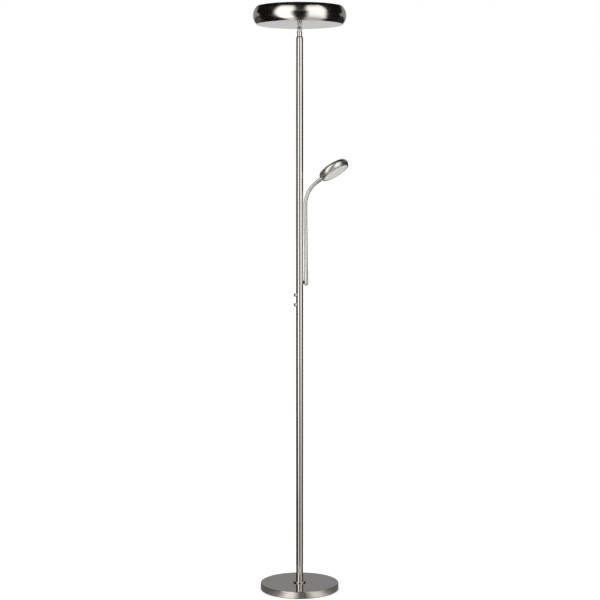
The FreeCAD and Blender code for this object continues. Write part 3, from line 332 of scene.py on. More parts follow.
def floor_ring(name, inner, outer, warmth, pools):
    """A flat ring on the floor. pools are (azimuth, brightness)."""
    material = bpy.data.materials.new(name)
    tree = empty_tree(material)
    turned_round = add(tree, "ShaderNodeMapping", {
        "Vector": add(tree, "ShaderNodeTexCoord").outputs["Object"], "Rotation": (0, 0, math.radians(90))})
    azimuth = add(tree, "ShaderNodeTexGradient", {"Vector": turned_round.outputs[0]}, gradient_type="RADIAL")
    ramp = add(tree, "ShaderNodeValToRGB", {0: azimuth.outputs["Fac"]})
    glowing(material, ramp.outputs[0], ramp_stops(ramp, [
        (0.5 + degrees / 360, brightness, warmth) for degrees, brightness in pools]))
    turns = [2 * math.pi * n / RING_SIDES for n in range(RING_SIDES)]
    mesh = bpy.data.meshes.new(name)
    mesh.from_pydata(
        [(reach * math.cos(turn), reach * math.sin(turn), RING_HEIGHT) for reach in (inner, outer) for turn in turns],
        [], [(n, (n + 1) % RING_SIDES, RING_SIDES + (n + 1) % RING_SIDES, RING_SIDES + n)
             for n in range(RING_SIDES)])
    only_in_reflections(show(name, mesh, material))


floor_ring("floor_near_foot", 0.05, RING_EDGE, 0.1, [
    (-180, 0.25), (-120, 0.15), (-60, 0.15), (-40, 0.28), (-22, 1.1), (-12, 1.1), (0, 0.18), (10, 0.16),
    (26, 0.9), (36, 0.9), (55, 0.3), (70, 0.17), (120, 0.15), (180, 0.25)])
floor_ring("floor_round_lamp", RING_EDGE, CARD_REACH, 0.14, [
    (-180, 0.03), (-58, 0.02), (-42, 1.0), (-25, 1.0), (-9, 0.03), (11, 0.03), (27, 0.6), (74, 0.6), (90, 0.02),
    (180, 0.03)])
print("pools on the floor in two rings")

# %% Ceiling
mesh = bpy.data.meshes.new("dark_ceiling")
lid = bmesh.new()
bmesh.ops.create_circle(lid, cap_ends=True, segments=48, radius=CARD_REACH + 0.02)
bmesh.ops.translate(lid, verts=lid.verts, vec=(0, 0, CARD_TOP - 0.01))
lid.to_mesh(mesh)
lid.free()
mesh.uv_layers.new(name="sweep")
only_in_reflections(show("dark_ceiling", mesh, card_finish("dark_ceiling", DARK, 0)))
print("ceiling of", len(mesh.polygons[0].vertices), "corners")

# %% [markdown]
# ## The lamps of the studio
# Two large soft area lights stand where the bright cards are. They light plastic and paper only: in the metal
# the cards are seen instead, so the lights are left out of reflections.

# %% Soft lights
LIGHT_AZIMUTH, LIGHT_DISTANCE, LIGHT_HEIGHT = 38, 2.6, 1.7
LIGHT_WIDTH, LIGHT_TALL = 1.6, 2.6
AIM = Vector((0, 0, 1.0))


def soft_light(name, azimuth, power):
    data = bpy.data.lights.new(name, "AREA")
    data.shape = "RECTANGLE"
    data.size = LIGHT_WIDTH
    data.size_y = LIGHT_TALL
    data.energy = power
    light = bpy.data.objects.new(name, data)
    turn = math.radians(azimuth)
    light.location = (LIGHT_DISTANCE * math.sin(turn), -LIGHT_DISTANCE * math.cos(turn), LIGHT_HEIGHT)
    light.rotation_euler = (AIM - light.location).to_track_quat("-Z", "Y").to_euler()
    light.visible_camera = False
    light.visible_glossy = False
    scene.collection.objects.link(light)


soft_light("left_light", -LIGHT_AZIMUTH, 26)
soft_light("right_light", LIGHT_AZIMUTH, 22)

# %% [markdown]
# ## Satin nickel
# The metal parts are steel, plated with nickel and rubbed with a fine abrasive while they turn. That leaves very
# fine lines round the axis, which blur a reflection a little without hiding it. The lines are noise stretched
# along the direction of rubbing: on a tube they run round it, so the noise changes fast along the tube, and on
# a disc they are circles, so it changes fast with the radius. They drive roughness and a very weak bump.

# %% Tools for materials
def darker(colour, share):
    return tuple(channel * share for channel in colour[:3]) + (1,)


def start_material(name, colour, roughness, metallic):
    material = bpy.data.materials.new(name)
    material.use_nodes = True
    material.diffuse_color = colour
    tree = material.node_tree
    shader = tree.nodes["Principled BSDF"]
    fill(tree, shader, {"Base Color": colour, "Roughness": roughness, "Metallic": metallic})
    return material, tree, shader


def placed_coordinates(tree, place):
    """Object coordinates in the axes of a turned piece: its own Z is the axis that it was turned on."""
    inverse = place.inverted()
    return add(tree, "ShaderNodeMapping", {
        "Vector": add(tree, "ShaderNodeTexCoord").outputs["Object"],
        "Location": inverse.translation,
        "Rotation": inverse.to_euler(),
    }).outputs[0]


def noise(tree, at, scale, detail, roughness=0.5, distortion=0.0):
    return add(tree, "ShaderNodeTexNoise", {
        "Vector": at, "Scale": scale, "Detail": detail, "Roughness": roughness, "Distortion": distortion,
    }).outputs["Fac"]


def spread(tree, value, low, high, start=0.3, end=0.7):
    """Stretches a noise between two values."""
    return add(tree, "ShaderNodeMapRange", {
        "Value": value, "From Min": start, "From Max": end, "To Min": low, "To Max": high}).outputs[0]


def mixed(tree, share, first, second):
    """A colour between two colours."""
    return add(tree, "ShaderNodeMix", {0: share, 6: first, 7: second}, data_type="RGBA").outputs[2]


print("grey made darker:", darker((0.5, 0.5, 0.5, 1), 0.9))

# %% Satin nickel
NICKEL = (0.71, 0.685, 0.655, 1)
COOL_NICKEL = (0.755, 0.755, 0.715, 1)
LINE_DEPTH = 0.00001
# How often the noise changes in a metre: along the lines on a tube and on a disc, and where hands have been.
ALONG_TUBE, ALONG_DISC, HANDLING = 25, 14, 9.0
# How far the lines swing the roughness, and what share of its brightness the metal keeps where it was handled.
LINE_SWING, HANDLED_SHARE = 0.03, 0.93


def lines_round_axis(tree, here, rubbed, line):
    """Coordinates that change fast across the lines of rubbing, and slowly along them."""
    if rubbed == "tube":
        return add(tree, "ShaderNodeMapping", {
            "Vector": here, "Scale": (ALONG_TUBE, ALONG_TUBE, 1 / line)}).outputs[0]
    flat = add(tree, "ShaderNodeVectorMath", {0: here, 1: (1, 1, 0)}, operation="MULTIPLY").outputs[0]
    radius = add(tree, "ShaderNodeVectorMath", {0: flat}, operation="LENGTH").outputs["Value"]
    scaled = add(tree, "ShaderNodeVectorMath", {0: here, 1: (ALONG_DISC,) * 3}, operation="MULTIPLY").outputs[0]
    slow = add(tree, "ShaderNodeSeparateXYZ", {0: scaled}).outputs
    return add(tree, "ShaderNodeCombineXYZ", {
        0: slow["X"], 1: slow["Y"], 2: calc(tree, "MULTIPLY", radius, 1 / line)}).outputs[0]


def satin_nickel(name, rubbed, roughness, place=Matrix.Identity(4), line=0.0004, depth=0.25, colour=NICKEL):
    """rubbed is "tube" or "disc". line is how far apart the finest lines are, in metres."""
    material, tree, shader = start_material(name, colour, roughness, 1.0)
    here = placed_coordinates(tree, place)
    lines = noise(tree, lines_round_axis(tree, here, rubbed, line), 1.0, 1.5)
    handling = noise(tree, here, HANDLING, 4.0, 0.55, 0.4)
    fill(tree, shader, {
        "Roughness": calc(tree, "ADD", spread(tree, lines, roughness - LINE_SWING, roughness + LINE_SWING),
                          spread(tree, handling, -0.01, 0.02)),
        "Base Color": mixed(
            tree, spread(tree, handling, 0.0, 1.0, 0.35, 0.75), colour, darker(colour, HANDLED_SHARE)),
        "Normal": add(tree, "ShaderNodeBump", {
            "Strength": depth, "Distance": LINE_DEPTH, "Height": lines}).outputs[0],
    })
    return material


tube_nickel = satin_nickel("satin_nickel_tube", "tube", 0.15)
disc_nickel = satin_nickel("satin_nickel_disc", "disc", 0.1)
head_nickel = satin_nickel("satin_nickel_head", "disc", 0.15)
# The fork and the tongue of the knuckle get a near-white colour, much brighter than the nickel round them: a painted
# highlight.
joint_nickel_painted_highlight = satin_nickel("satin_nickel_joint_painted_highlight", "tube", 0.55, line=0.002, depth=0.05, colour=(0.95, 0.95, 0.94, 1))
print("nickel finishes:", tube_nickel.name, disc_nickel.name, head_nickel.name, joint_nickel_painted_highlight.name)

# %% [markdown]
# ## The other materials
# Most of them are inside the lamp, and still get the finish of the real thing: the weight is cast, so its skin is
# grainy; the pad is a closed foam; zinc plate is cloudy; a board has a white mask with a very fine grain.
# One function covers these, because each is a colour, a second colour in patches, and a grain.
#
# The discs in front of the light sources are opal acrylic. Light goes some way into it, so it needs a little
# subsurface scattering, and its skin is moulded with a very fine sparkle against glare.

# %% Grained materials
def grained(name, colour, patches, roughness, grain, depth, metallic=0.0, patch_size=0.02, swing=0.06, extras=None):
    """patches is the second colour, grain the size of the bumps in metres, and extras more of the shader's inputs."""
    material, tree, shader = start_material(name, colour, roughness, metallic)
    here = add(tree, "ShaderNodeTexCoord").outputs["Object"]
    wide = noise(tree, here, 1 / patch_size, 4.0, 0.55)
    fine = noise(tree, here, 1 / grain, 2.0)
    fill(tree, shader, {
        "Base Color": mixed(tree, spread(tree, wide, 0.0, 1.0), colour, patches),
        "Roughness": spread(tree, fine, roughness - swing, roughness + swing),
        "Normal": add(tree, "ShaderNodeBump", {
            "Strength": depth, "Distance": grain / 3, "Height": fine}).outputs[0],
        **(extras or {}),
    })
    return material


zinc = grained("zinc_plated_steel", (0.62, 0.63, 0.64, 1), (0.52, 0.53, 0.52, 1), 0.36, 0.0006, 0.15, 1.0, 0.004)
cast_iron = grained("cast_iron_weight", (0.10, 0.10, 0.105, 1), (0.15, 0.12, 0.10, 1), 0.72, 0.0016, 0.6, 0.6)
foam = grained("foam_pad", (0.035, 0.035, 0.037, 1), (0.05, 0.05, 0.05, 1), 0.92, 0.0007, 0.5)
rubber = grained("inlet_rubber", (0.03, 0.03, 0.032, 1), (0.045, 0.044, 0.043, 1), 0.5, 0.0009, 0.12)
sheath = grained("lead_sheath", (0.80, 0.80, 0.78, 1), (0.76, 0.76, 0.73, 1), 0.45, 0.0009, 0.12)
aluminium = grained("rolled_aluminium", (0.80, 0.81, 0.82, 1), (0.72, 0.73, 0.75, 1), 0.38, 0.0005, 0.12, 1.0)
white_plastic = grained("white_moulded_plastic", (0.80, 0.80, 0.79, 1), (0.77, 0.77, 0.75, 1), 0.42, 0.0004, 0.1,
                        extras={"Subsurface Weight": 0.05})
board_mask = grained("board_solder_mask", (0.86, 0.87, 0.86, 1), (0.80, 0.82, 0.80, 1), 0.35, 0.0003, 0.08)
dimmer_plastic = grained("dimmer_plastic", (0.05, 0.06, 0.09, 1), (0.07, 0.08, 0.10, 1), 0.48, 0.0005, 0.15)
chip_resin = grained("chip_resin", (0.85, 0.62, 0.12, 1), (0.90, 0.70, 0.20, 1), 0.3, 0.0004, 0.1,
                     patch_size=0.003, extras={"Coat Weight": 0.3})
OPAL = (0.86, 0.86, 0.85, 1)
opal = grained("opal_acrylic", OPAL, darker(OPAL, 0.975), 0.38, 0.0005, 0.12, patch_size=0.05, swing=0.04, extras={
    "Subsurface Weight": 0.25, "Subsurface Radius": (0.002, 0.002, 0.002), "Subsurface Scale": 1.0,
    "Coat Weight": 0.15, "Coat Roughness": 0.2})
print("materials so far:", len(bpy.data.materials))

# %% [markdown]
# ## Turning
# Most pieces of this lamp were turned or spun in metal, so they are turned here too: an outline of (radius,
# height) points goes round the axis. A third number rounds a corner, because no real edge is sharp, and a
# rounded edge catches a line of light. Each rounding gets a narrow strip of the flat at both sides, so that
# smooth shading doesn't bend the reflections on the flat itself.

# %% Tools for outlines
STRIP = 0.12
DEGREES_A_STEP = 11


def rounded(outline):
    """The closed outline with its rounded corners drawn as short runs. All in millimetres."""
    result = []
    for index, corner in enumerate(outline):
        here = Vector(corner[:2])
        if len(corner) < 3:
            result.append(here)
            continue
        size = corner[2]
        before = Vector(outline[index - 1][:2]) - here
        after = Vector(outline[(index + 1) % len(outline)][:2]) - here
        angle = before.angle(after)
        reach = size / math.tan(angle / 2)
        a, b = before.normalized(), after.normalized()
        centre = here + (a + b).normalized() * (size / math.sin(angle / 2))
        start, end = here + a * reach, here + b * reach
        turn = (start - centre).angle_signed(end - centre)
        steps = max(3, math.ceil(abs(math.degrees(turn)) / DEGREES_A_STEP))
        if before.length > reach + 2 * STRIP:
            result.append(start + a * STRIP)
        arm = start - centre
        for step in range(steps + 1):
            share = -turn * step / steps
            result.append(centre + Vector((
                arm.x * math.cos(share) - arm.y * math.sin(share),
                arm.x * math.sin(share) + arm.y * math.cos(share))))
        if after.length > reach + 2 * STRIP:
            result.append(end + b * STRIP)
    return result


def arc(centre, radius, start, end, steps):
    """Points of an arc in the outline's plane, with angles in degrees from the radius direction."""
    return [
        (centre[0] + radius * math.cos(math.radians(start + (end - start) * n / steps)),
         centre[1] + radius * math.sin(math.radians(start + (end - start) * n / steps)))
        for n in range(steps + 1)
    ]


print("an outline of 4 points rounds to", len(rounded([(0, 0), (9, 0, 1), (9, 3, 1), (0, 3)])))

# %% Tools for turned pieces
# Points closer than MERGE become one, and faces thinner than SLIVER go. In metres.
MERGE, SLIVER = 0.000002, 0.000001
SHARP = 32


def smooth(mesh, sharp=SHARP):
    """Smooth shading, but not over edges of more than this many degrees."""
    mesh.polygons.foreach_set("use_smooth", [True] * len(mesh.polygons))
    mesh.set_sharp_from_angle(angle=math.radians(sharp))


def worked_in(piece):
    """A plain mesh of an object with its modifiers worked in."""
    bpy.context.view_layer.update()
    return bpy.data.meshes.new_from_object(piece.evaluated_get(bpy.context.evaluated_depsgraph_get()))


def turned(name, outline, body, material, around, hides, place=Matrix.Identity(4)):
    """Turns an outline in millimetres about the Z axis, puts it in place and lets it ride on a body."""
    work = bmesh.new()
    rings = []
    for x, z in rounded(outline):
        rings.append([work.verts.new((
            x * MM * math.cos(2 * math.pi * n / around), x * MM * math.sin(2 * math.pi * n / around), z * MM))
            for n in range(around)])
    for low, high in zip(rings, rings[1:] + rings[:1]):
        for n in range(around):
            work.faces.new((low[n], low[(n + 1) % around], high[(n + 1) % around], high[n]))
    bmesh.ops.remove_doubles(work, verts=work.verts, dist=MERGE)
    bmesh.ops.dissolve_degenerate(work, edges=work.edges, dist=SLIVER)
    bmesh.ops.recalc_face_normals(work, faces=work.faces)
    mesh = bpy.data.meshes.new(name)
    work.to_mesh(mesh)
    work.free()
    mesh.transform(place)
    smooth(mesh)
    piece = show(name, mesh, material)
    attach(piece, body)
    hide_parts(*hides)
    return piece


def nickel_piece(name, outline, body, material, **more):
    piece = turned(name, outline, body, material, **more)
    return piece


print("turned pieces keep edges of more than", SHARP, "degrees sharp")

# %% [markdown]
# ## The foot
# A cast weight stands on a foam pad, and a pressed nickel cover goes over it. The cover's top is rubbed to a
# satin mirror, which shows the pole upside down. A rounded ring lies round the pole where it enters the foot.

# %% Foot
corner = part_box("base_cover")[1]
foot_radius, foot_top = corner.x / MM, corner.z / MM
COVER_WALL, COVER_LOW = 1.0, 2.0
NIPPLE_HOLE = 5.1
foot_cover = nickel_piece("foot_cover", [
    (foot_radius - COVER_WALL, COVER_LOW),
    (foot_radius, COVER_LOW, 0.3),
    (foot_radius, foot_top, 1.5),
    (NIPPLE_HOLE, foot_top),
    (NIPPLE_HOLE, foot_top - COVER_WALL),
    (foot_radius - COVER_WALL, foot_top - COVER_WALL, 0.6),
], "root", disc_nickel, around=256, hides=["base_cover"])
print("foot of", round(2 * foot_radius), "mm,", round(foot_top), "mm high")

# %% [markdown]
# The lead comes in through a notch in the cover's back edge. A block with the notch's size cuts it out.

# %% Notch for the lead
NOTCH_SIZE, NOTCH_PLACE = (0.009, 0.024, 0.0124), (0, 0.119, 0.002)
block = bpy.data.meshes.new("notch")
work = bmesh.new()
bmesh.ops.create_cube(work, size=1.0)
bmesh.ops.scale(work, verts=work.verts, vec=NOTCH_SIZE)
bmesh.ops.translate(work, verts=work.verts, vec=NOTCH_PLACE)
work.to_mesh(block)
work.free()
cutter = show("notch", block)
modifier = foot_cover.modifiers.new("notch", "BOOLEAN")
modifier.object = cutter
modifier.solver = "EXACT"
cut = worked_in(foot_cover)
foot_cover.modifiers.clear()
foot_cover.data = cut
bpy.data.objects.remove(cutter)
cut.set_sharp_from_angle(angle=math.radians(SHARP))
print("foot cover with its notch:", len(cut.polygons), "faces")

# %% Ring on the foot
POLE_RADIUS = 11.0
RING_HOLE = POLE_RADIUS + 0.1
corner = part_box("base_collar")[1]
ring_radius, ring_top = corner.x / MM, corner.z / MM
half = (ring_top - foot_top) / 2
nickel_piece("foot_ring", [
    (RING_HOLE, foot_top),
    (ring_radius - half, foot_top),
    *arc((ring_radius - half, foot_top + half), half, -90, 90, 14)[1:-1],
    (ring_radius - half, ring_top),
    (RING_HOLE, ring_top, 0.4),
], "root", disc_nickel, around=128, hides=["base_collar"])
print("ring of", round(2 * ring_radius), "mm")

# %% [markdown]
# ## The pole
# Four tubes stand on each other. Each end has its edge broken, so a joint is a hairline with a dark bottom and
# two fine bright edges, as on a real pole. The third tube has the holes for the knobs and the arm, and keeps
# its CAD solid.

# %% Pole
POLE_BORE = 9.8
for number in (1, 2, 4):
    low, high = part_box(f"pole_section_{number}")
    bottom, top = low.z / MM, high.z / MM
    nickel_piece(f"pole_tube_{number}", [
        (POLE_BORE, bottom), (POLE_RADIUS, bottom, 0.3), (POLE_RADIUS, top, 0.3), (POLE_BORE, top),
    ], "root", tube_nickel, around=96, hides=[f"pole_section_{number}"])
    print("tube", number, "from", round(bottom), "to", round(top))

# %% [markdown]
# ## Neck and knuckle
# A short cone closes the pole, and a slotted ball on it holds the tongue of the head. The cone and its two
# steps are turned here. The slotted ball and the tongue keep their CAD solids, whose cuts are right already.

# %% Neck
NECK_HEIGHT, NECK_RADIUS, NECK_BORE = 18.0, 8.0, 3.0
PLUG_LENGTH, PLUG_RADIUS = 15.0, 9.7
CONE_START, CONE_END = 0.8, 4.5
neck_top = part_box("neck")[1].z / MM
pole_top = neck_top - NECK_HEIGHT
nickel_piece("neck_cone", [
    (NECK_BORE, pole_top - PLUG_LENGTH),
    (PLUG_RADIUS, pole_top - PLUG_LENGTH, 0.5),
    (PLUG_RADIUS, pole_top),
    (POLE_RADIUS, pole_top, 0.2),
    (POLE_RADIUS, pole_top + CONE_START, 0.4),
    (NECK_RADIUS, pole_top + CONE_END, 0.8),
    (NECK_RADIUS, neck_top, 0.25),
    (NECK_BORE, neck_top),
], "root", tube_nickel, around=96, hides=["neck"])
print("neck from", round(pole_top, 1), "to", round(neck_top, 1))

# %% [markdown]
# ## The main head
# The shell is spun from sheet: a flat floor, a small corner, one full arc for the side and a lip that turns in at
# the top. The arc gives the bright and dark pools of the photograph, so it has many rings.

# %% Head shell
def spun_side(sizes, steps, inset=0.0, stop=None):
    """The side of a spun shell from its floor to its lip. With an inset, only the arc of its inner face."""
    floor_radius, corner, widest, lip_radius, depth = sizes
    corner_turn = 47.0
    start_radius = floor_radius + corner * math.sin(math.radians(corner_turn))
    start_height = corner * (1 - math.cos(math.radians(corner_turn)))
    half_chord = (depth - start_height) / 2
    rise = widest - (start_radius + lip_radius) / 2
    radius = (half_chord ** 2 + rise ** 2) / (2 * rise)
    centre = (widest - radius, start_height + half_chord)
    radius -= inset
    bottom = math.degrees(math.asin(max(-1, ((inset or start_height) - centre[1]) / radius)))
    top = math.degrees(math.asin(min(1, ((stop or depth) - centre[1]) / radius)))
    side = arc(centre, radius, bottom, top, steps)
    if inset:
        return side
    return arc((floor_radius, corner), corner, -90, corner_turn - 90, 6)[:-1] + side


FLOOR, DEPTH = 131.8, 55.5
# Radius of the floor, rounding of the corner, widest radius, radius of the lip, and depth.
HEAD = (FLOOR, 3.0, 144.5, 133.5, DEPTH)
HEAD_WALL, TONGUE_HOLE, OPENING = 1.2, 5.1, 129.0
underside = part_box("head_shell")[0].z / MM
outside = spun_side(HEAD, 48)
inside = spun_side(HEAD, 24, HEAD_WALL, DEPTH - HEAD_WALL)
nickel_piece("head_shell_spun", [
    (TONGUE_HOLE, 0), (FLOOR - 0.4, 0), *outside[:-1], (*outside[-1], 0.35), (OPENING, DEPTH, 0.4),
    (OPENING, DEPTH - HEAD_WALL), *reversed(inside), (TONGUE_HOLE, HEAD_WALL),
], "head", head_nickel, place=Matrix.Translation(in_mm(0, 0, underside)), around=256, hides=["head_shell"])
print("head from", round(underside, 1), "with", len(outside), "rings on its side")

# %% [markdown]
# ## The top of the head
# A white ring stands on the heat spreader, and an opal disc lies on its flange, a little below the lip. The disc
# is moulded with a crown of under a millimetre, which keeps it from looking sunken.

# %% Opal disc
DISC_RADIUS = 128.7
CROWN, CROWN_STEPS = 0.4, 12
low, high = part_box("head_diffuser")
disc_bottom, disc_top = low.z / MM, high.z / MM
crown = []
for step in range(1, CROWN_STEPS + 1):
    out = 1 - step / CROWN_STEPS
    crown.append((DISC_RADIUS * out, disc_top - CROWN + CROWN * (1 - out ** 2)))
disc = turned("head_opal_disc", [
    (0, disc_bottom), (DISC_RADIUS, disc_bottom, 0.3), (DISC_RADIUS, disc_top - CROWN, 0.6), *crown,
], "head", opal, around=192, hides=["head_diffuser"])
print("opal disc at", round(disc_top, 1))

# %% [markdown]
# ## The sleeve of the arm
# A short stub on the pole carries a sleeve with a round lower end. The flexible arm stands in it.

# %% Sleeve
ARM_AXIS, ARM_RADIUS = 19.9, 5.5
SLEEVE_RADIUS, SLEEVE_LENGTH = 6.7, 47.0
MOUTH_RADIUS, MOUTH_DEPTH = ARM_RADIUS - 0.5, 6
sleeve_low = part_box("arm_sleeve")[0].z / MM
sleeve_top = sleeve_low + SLEEVE_LENGTH
sleeve_place = Matrix.Translation(in_mm(ARM_AXIS, 0, 0))
arm_nickel = satin_nickel("satin_nickel_sleeve", "tube", 0.2, sleeve_place, colour=COOL_NICKEL)
nickel_piece("arm_sleeve_turned", [
    *arc((0, sleeve_low + SLEEVE_RADIUS), SLEEVE_RADIUS, -90, 0, 16),
    (SLEEVE_RADIUS, sleeve_top, 0.8),
    (MOUTH_RADIUS, sleeve_top, 0.15),
    (MOUTH_RADIUS, sleeve_top - MOUTH_DEPTH),
    (0, sleeve_top - MOUTH_DEPTH),
], "root", arm_nickel, place=sleeve_place, around=96, hides=["arm_sleeve"])
print("sleeve from", round(sleeve_low, 1), "to", round(sleeve_top, 1))

# %% [markdown]
# ## The flexible arm
# The arm is a gooseneck: two wires are wound over each other into a hose that holds any bend. Its ribs follow a
# path, which is what Geometry Nodes do well. The tree below takes the arm's line, sets the radius of each point
# of it from how far along it lies, which makes the ribs, and draws a tube round it. Start and End cut one piece
# out of the whole arm. Each piece crosses one joint of the CAD model.

# %% Joints of the arm
LEAN = math.radians(-0.65)
LOWER_PITCH, UPPER_PITCH, BEND_RADIUS = 32.0, 20.5, 90.0
LOWER_LINKS, UPPER_LINKS = 6, 4
LINKS = LOWER_LINKS + UPPER_LINKS
SLEEVE_TO_JOINT = 8.0
FIRST_JOINT = Vector((ARM_AXIS, 0, sleeve_top + SLEEVE_TO_JOINT))


def along(turn):
    """The direction that leans by turn from upright, towards the reading light."""
    return Vector((math.sin(turn), 0, math.cos(turn)))


joints = [FIRST_JOINT + along(LEAN) * LOWER_PITCH * n for n in range(LOWER_LINKS + 1)]
bend_start = joints[-1]
bend_centre = bend_start + Vector((math.cos(LEAN), 0, -math.sin(LEAN))) * BEND_RADIUS
last_turn = LEAN + UPPER_PITCH / BEND_RADIUS * UPPER_LINKS


def on_bend(turn):
    return bend_centre + Vector((-math.cos(turn), 0, math.sin(turn))) * BEND_RADIUS


joints += [on_bend(LEAN + UPPER_PITCH / BEND_RADIUS * n) for n in range(1, UPPER_LINKS + 1)]

# %% Line of the arm
SUNK = 4.0
STRAIGHT_STEPS, BEND_STEPS = 12, 24
FERRULE_PITCH = math.radians(36.1)
outward = Vector((math.cos(FERRULE_PITCH), 0, math.sin(FERRULE_PITCH)))
line = [FIRST_JOINT - Vector((0, 0, below)) for below in (SLEEVE_TO_JOINT + SUNK, SLEEVE_TO_JOINT / 2)]
line += [FIRST_JOINT + (bend_start - FIRST_JOINT) * n / STRAIGHT_STEPS for n in range(STRAIGHT_STEPS + 1)]
line += [on_bend(LEAN + (last_turn - LEAN) * n / BEND_STEPS) for n in range(1, BEND_STEPS + 1)]
line += [joints[-1] + (along(last_turn) + outward).normalized() * SUNK]

data = bpy.data.curves.new("arm_line", "CURVE")
data.dimensions = "3D"
spline = data.splines.new("POLY")
spline.points.add(len(line) - 1)
for point, place in zip(spline.points, line):
    point.co = (*(place * MM), 1)
arm_line = bpy.data.objects.new("arm_line", data)
scene.collection.objects.link(arm_line)
whole = sum((b - a).length for a, b in zip(line, line[1:]))
print("arm line of", round(whole, 1), "mm")

# %% Material of the wound arm
# Where the ribs dip into a valley, the colour is made darker: painted shade. The valleys are also rougher.
CREST_ROUGHNESS, VALLEY_ROUGHNESS, VALLEY_PAINTED_SHADE = (0.22, 0.32), 0.34, 0.88
hose_nickel, tree, shader = start_material("satin_nickel_hose", COOL_NICKEL, 0.28, 1.0)
valley = add(tree, "ShaderNodeAttribute", attribute_name="valley").outputs["Fac"]
rub = noise(tree, add(tree, "ShaderNodeTexCoord").outputs["Object"], 300.0, 4.0)
fill(tree, shader, {
    "Base Color": mixed(tree, valley, COOL_NICKEL, darker(COOL_NICKEL, VALLEY_PAINTED_SHADE)),
    "Roughness": calc(tree, "MAXIMUM", spread(tree, rub, *CREST_ROUGHNESS),
                      spread(tree, valley, 0.0, VALLEY_ROUGHNESS, 0.0, 1.0)),
})
print("hose finish", hose_nickel.name)

# %% Tools for geometry trees
def start_tree(name, sizes, takes_line=False):
    """A tree with one input for each size, and the identifiers of these inputs, by which a modifier sets them."""
    tree = bpy.data.node_groups.new(name, "GeometryNodeTree")
    if takes_line:
        tree.interface.new_socket("Geometry", in_out="INPUT", socket_type="NodeSocketGeometry")
    identifiers = {}
    for label, value in sizes.items():
        kind = "NodeSocketInt" if isinstance(value, int) else "NodeSocketFloat"
        socket = tree.interface.new_socket(label, in_out="INPUT", socket_type=kind)
        socket.default_value = value
        identifiers[label] = socket.identifier
    tree.interface.new_socket("Geometry", in_out="OUTPUT", socket_type="NodeSocketGeometry")
    return tree, identifiers


def end_tree(tree, shape, material):
    """The last nodes of a tree: copies are made real, and the material is set."""
    plain = add(tree, "GeometryNodeRealizeInstances", {"Geometry": shape})
    finished = add(tree, "GeometryNodeSetMaterial", {"Geometry": plain.outputs[0], "Material": material})
    add(tree, "NodeGroupOutput", {"Geometry": finished.outputs[0]})


print("geometry trees so far:", len(bpy.data.node_groups))

# %% Tree of the wound arm
RIB_PITCH = 2.0
wound, wound_inputs = start_tree("wound_arm", {
    "Start": 0.0, "End": 0.03, "Radius": ARM_RADIUS * MM, "Pitch": RIB_PITCH * MM, "Rib Depth": 0.012,
    "Points per Rib": 8.0}, takes_line=True)
given = add(wound, "NodeGroupInput").outputs
step = calc(wound, "DIVIDE", given["Pitch"], given["Points per Rib"])
evenly = add(wound, "GeometryNodeResampleCurve", {"Curve": given["Geometry"], "Length": step}, mode="LENGTH")
where = add(wound, "GeometryNodeSplineParameter").outputs["Length"]
turns = calc(wound, "DIVIDE", where, given["Pitch"])
wave = calc(wound, "COSINE", calc(wound, "MULTIPLY", turns, 2 * math.pi))
deepness = calc(wound, "POWER", calc(wound, "MULTIPLY_ADD", wave, 0.5, 0.5), 2.0)
share = calc(wound, "SUBTRACT", 1.0, calc(wound, "MULTIPLY", deepness, given["Rib Depth"]))
marked = add(wound, "GeometryNodeStoreNamedAttribute", {
    "Geometry": evenly.outputs[0], "Name": "valley", "Value": deepness}, data_type="FLOAT", domain="POINT")
ribbed = add(wound, "GeometryNodeSetCurveRadius", {"Curve": marked.outputs[0], "Radius": share})
piece_of = add(wound, "GeometryNodeTrimCurve", {
    "Curve": ribbed.outputs[0], "Start": given["Start"], "End": given["End"]}, mode="LENGTH")
round_wire = add(wound, "GeometryNodeCurvePrimitiveCircle", {"Resolution": 40, "Radius": given["Radius"]})
tube = add(wound, "GeometryNodeCurveToMesh", {
    "Curve": piece_of.outputs[0], "Profile Curve": round_wire.outputs[0], "Fill Caps": True})
end_tree(wound, tube.outputs[0], hose_nickel)
print("inputs of the tree:", list(wound_inputs))

# %% [markdown]
# A piece ends about halfway between two joints, in the valley between two ribs, where a seam doesn't show.

# %% Pieces of the wound arm
joint_marks = list(accumulate([SLEEVE_TO_JOINT + SUNK] + [LOWER_PITCH] * LOWER_LINKS + [UPPER_PITCH] * UPPER_LINKS))
cuts = [0.0]
for first, second in zip(joint_marks, joint_marks[1:]):
    cuts.append(round((first + second) / 2 / RIB_PITCH) * RIB_PITCH)
cuts.append(whole - 0.001)

for number, joint in enumerate(joints):
    modifier = arm_line.modifiers.new("wound", "NODES")
    modifier.node_group = wound
    modifier[wound_inputs["Start"]] = cuts[number] * MM
    modifier[wound_inputs["End"]] = cuts[number + 1] * MM
    mesh = worked_in(arm_line)
    arm_line.modifiers.remove(modifier)
    mesh.name = f"arm_hose_{number + 1:02d}"
    mesh.polygons.foreach_set("use_smooth", [len(face.vertices) < 5 for face in mesh.polygons])
    piece = show(mesh.name, mesh)
    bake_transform(piece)
    if number < LINKS:
        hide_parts(f"arm_link_{number + 1:02d}")
    print(piece.name, len(mesh.polygons), "faces")
bpy.data.objects.remove(arm_line)

# %% [markdown]
# ## The reading head
# The small head is spun like the large one, and tilted. Its own Z axis is the direction of its light, so its
# pieces are turned upright and put in place by one matrix. A ferrule joins it to the arm.

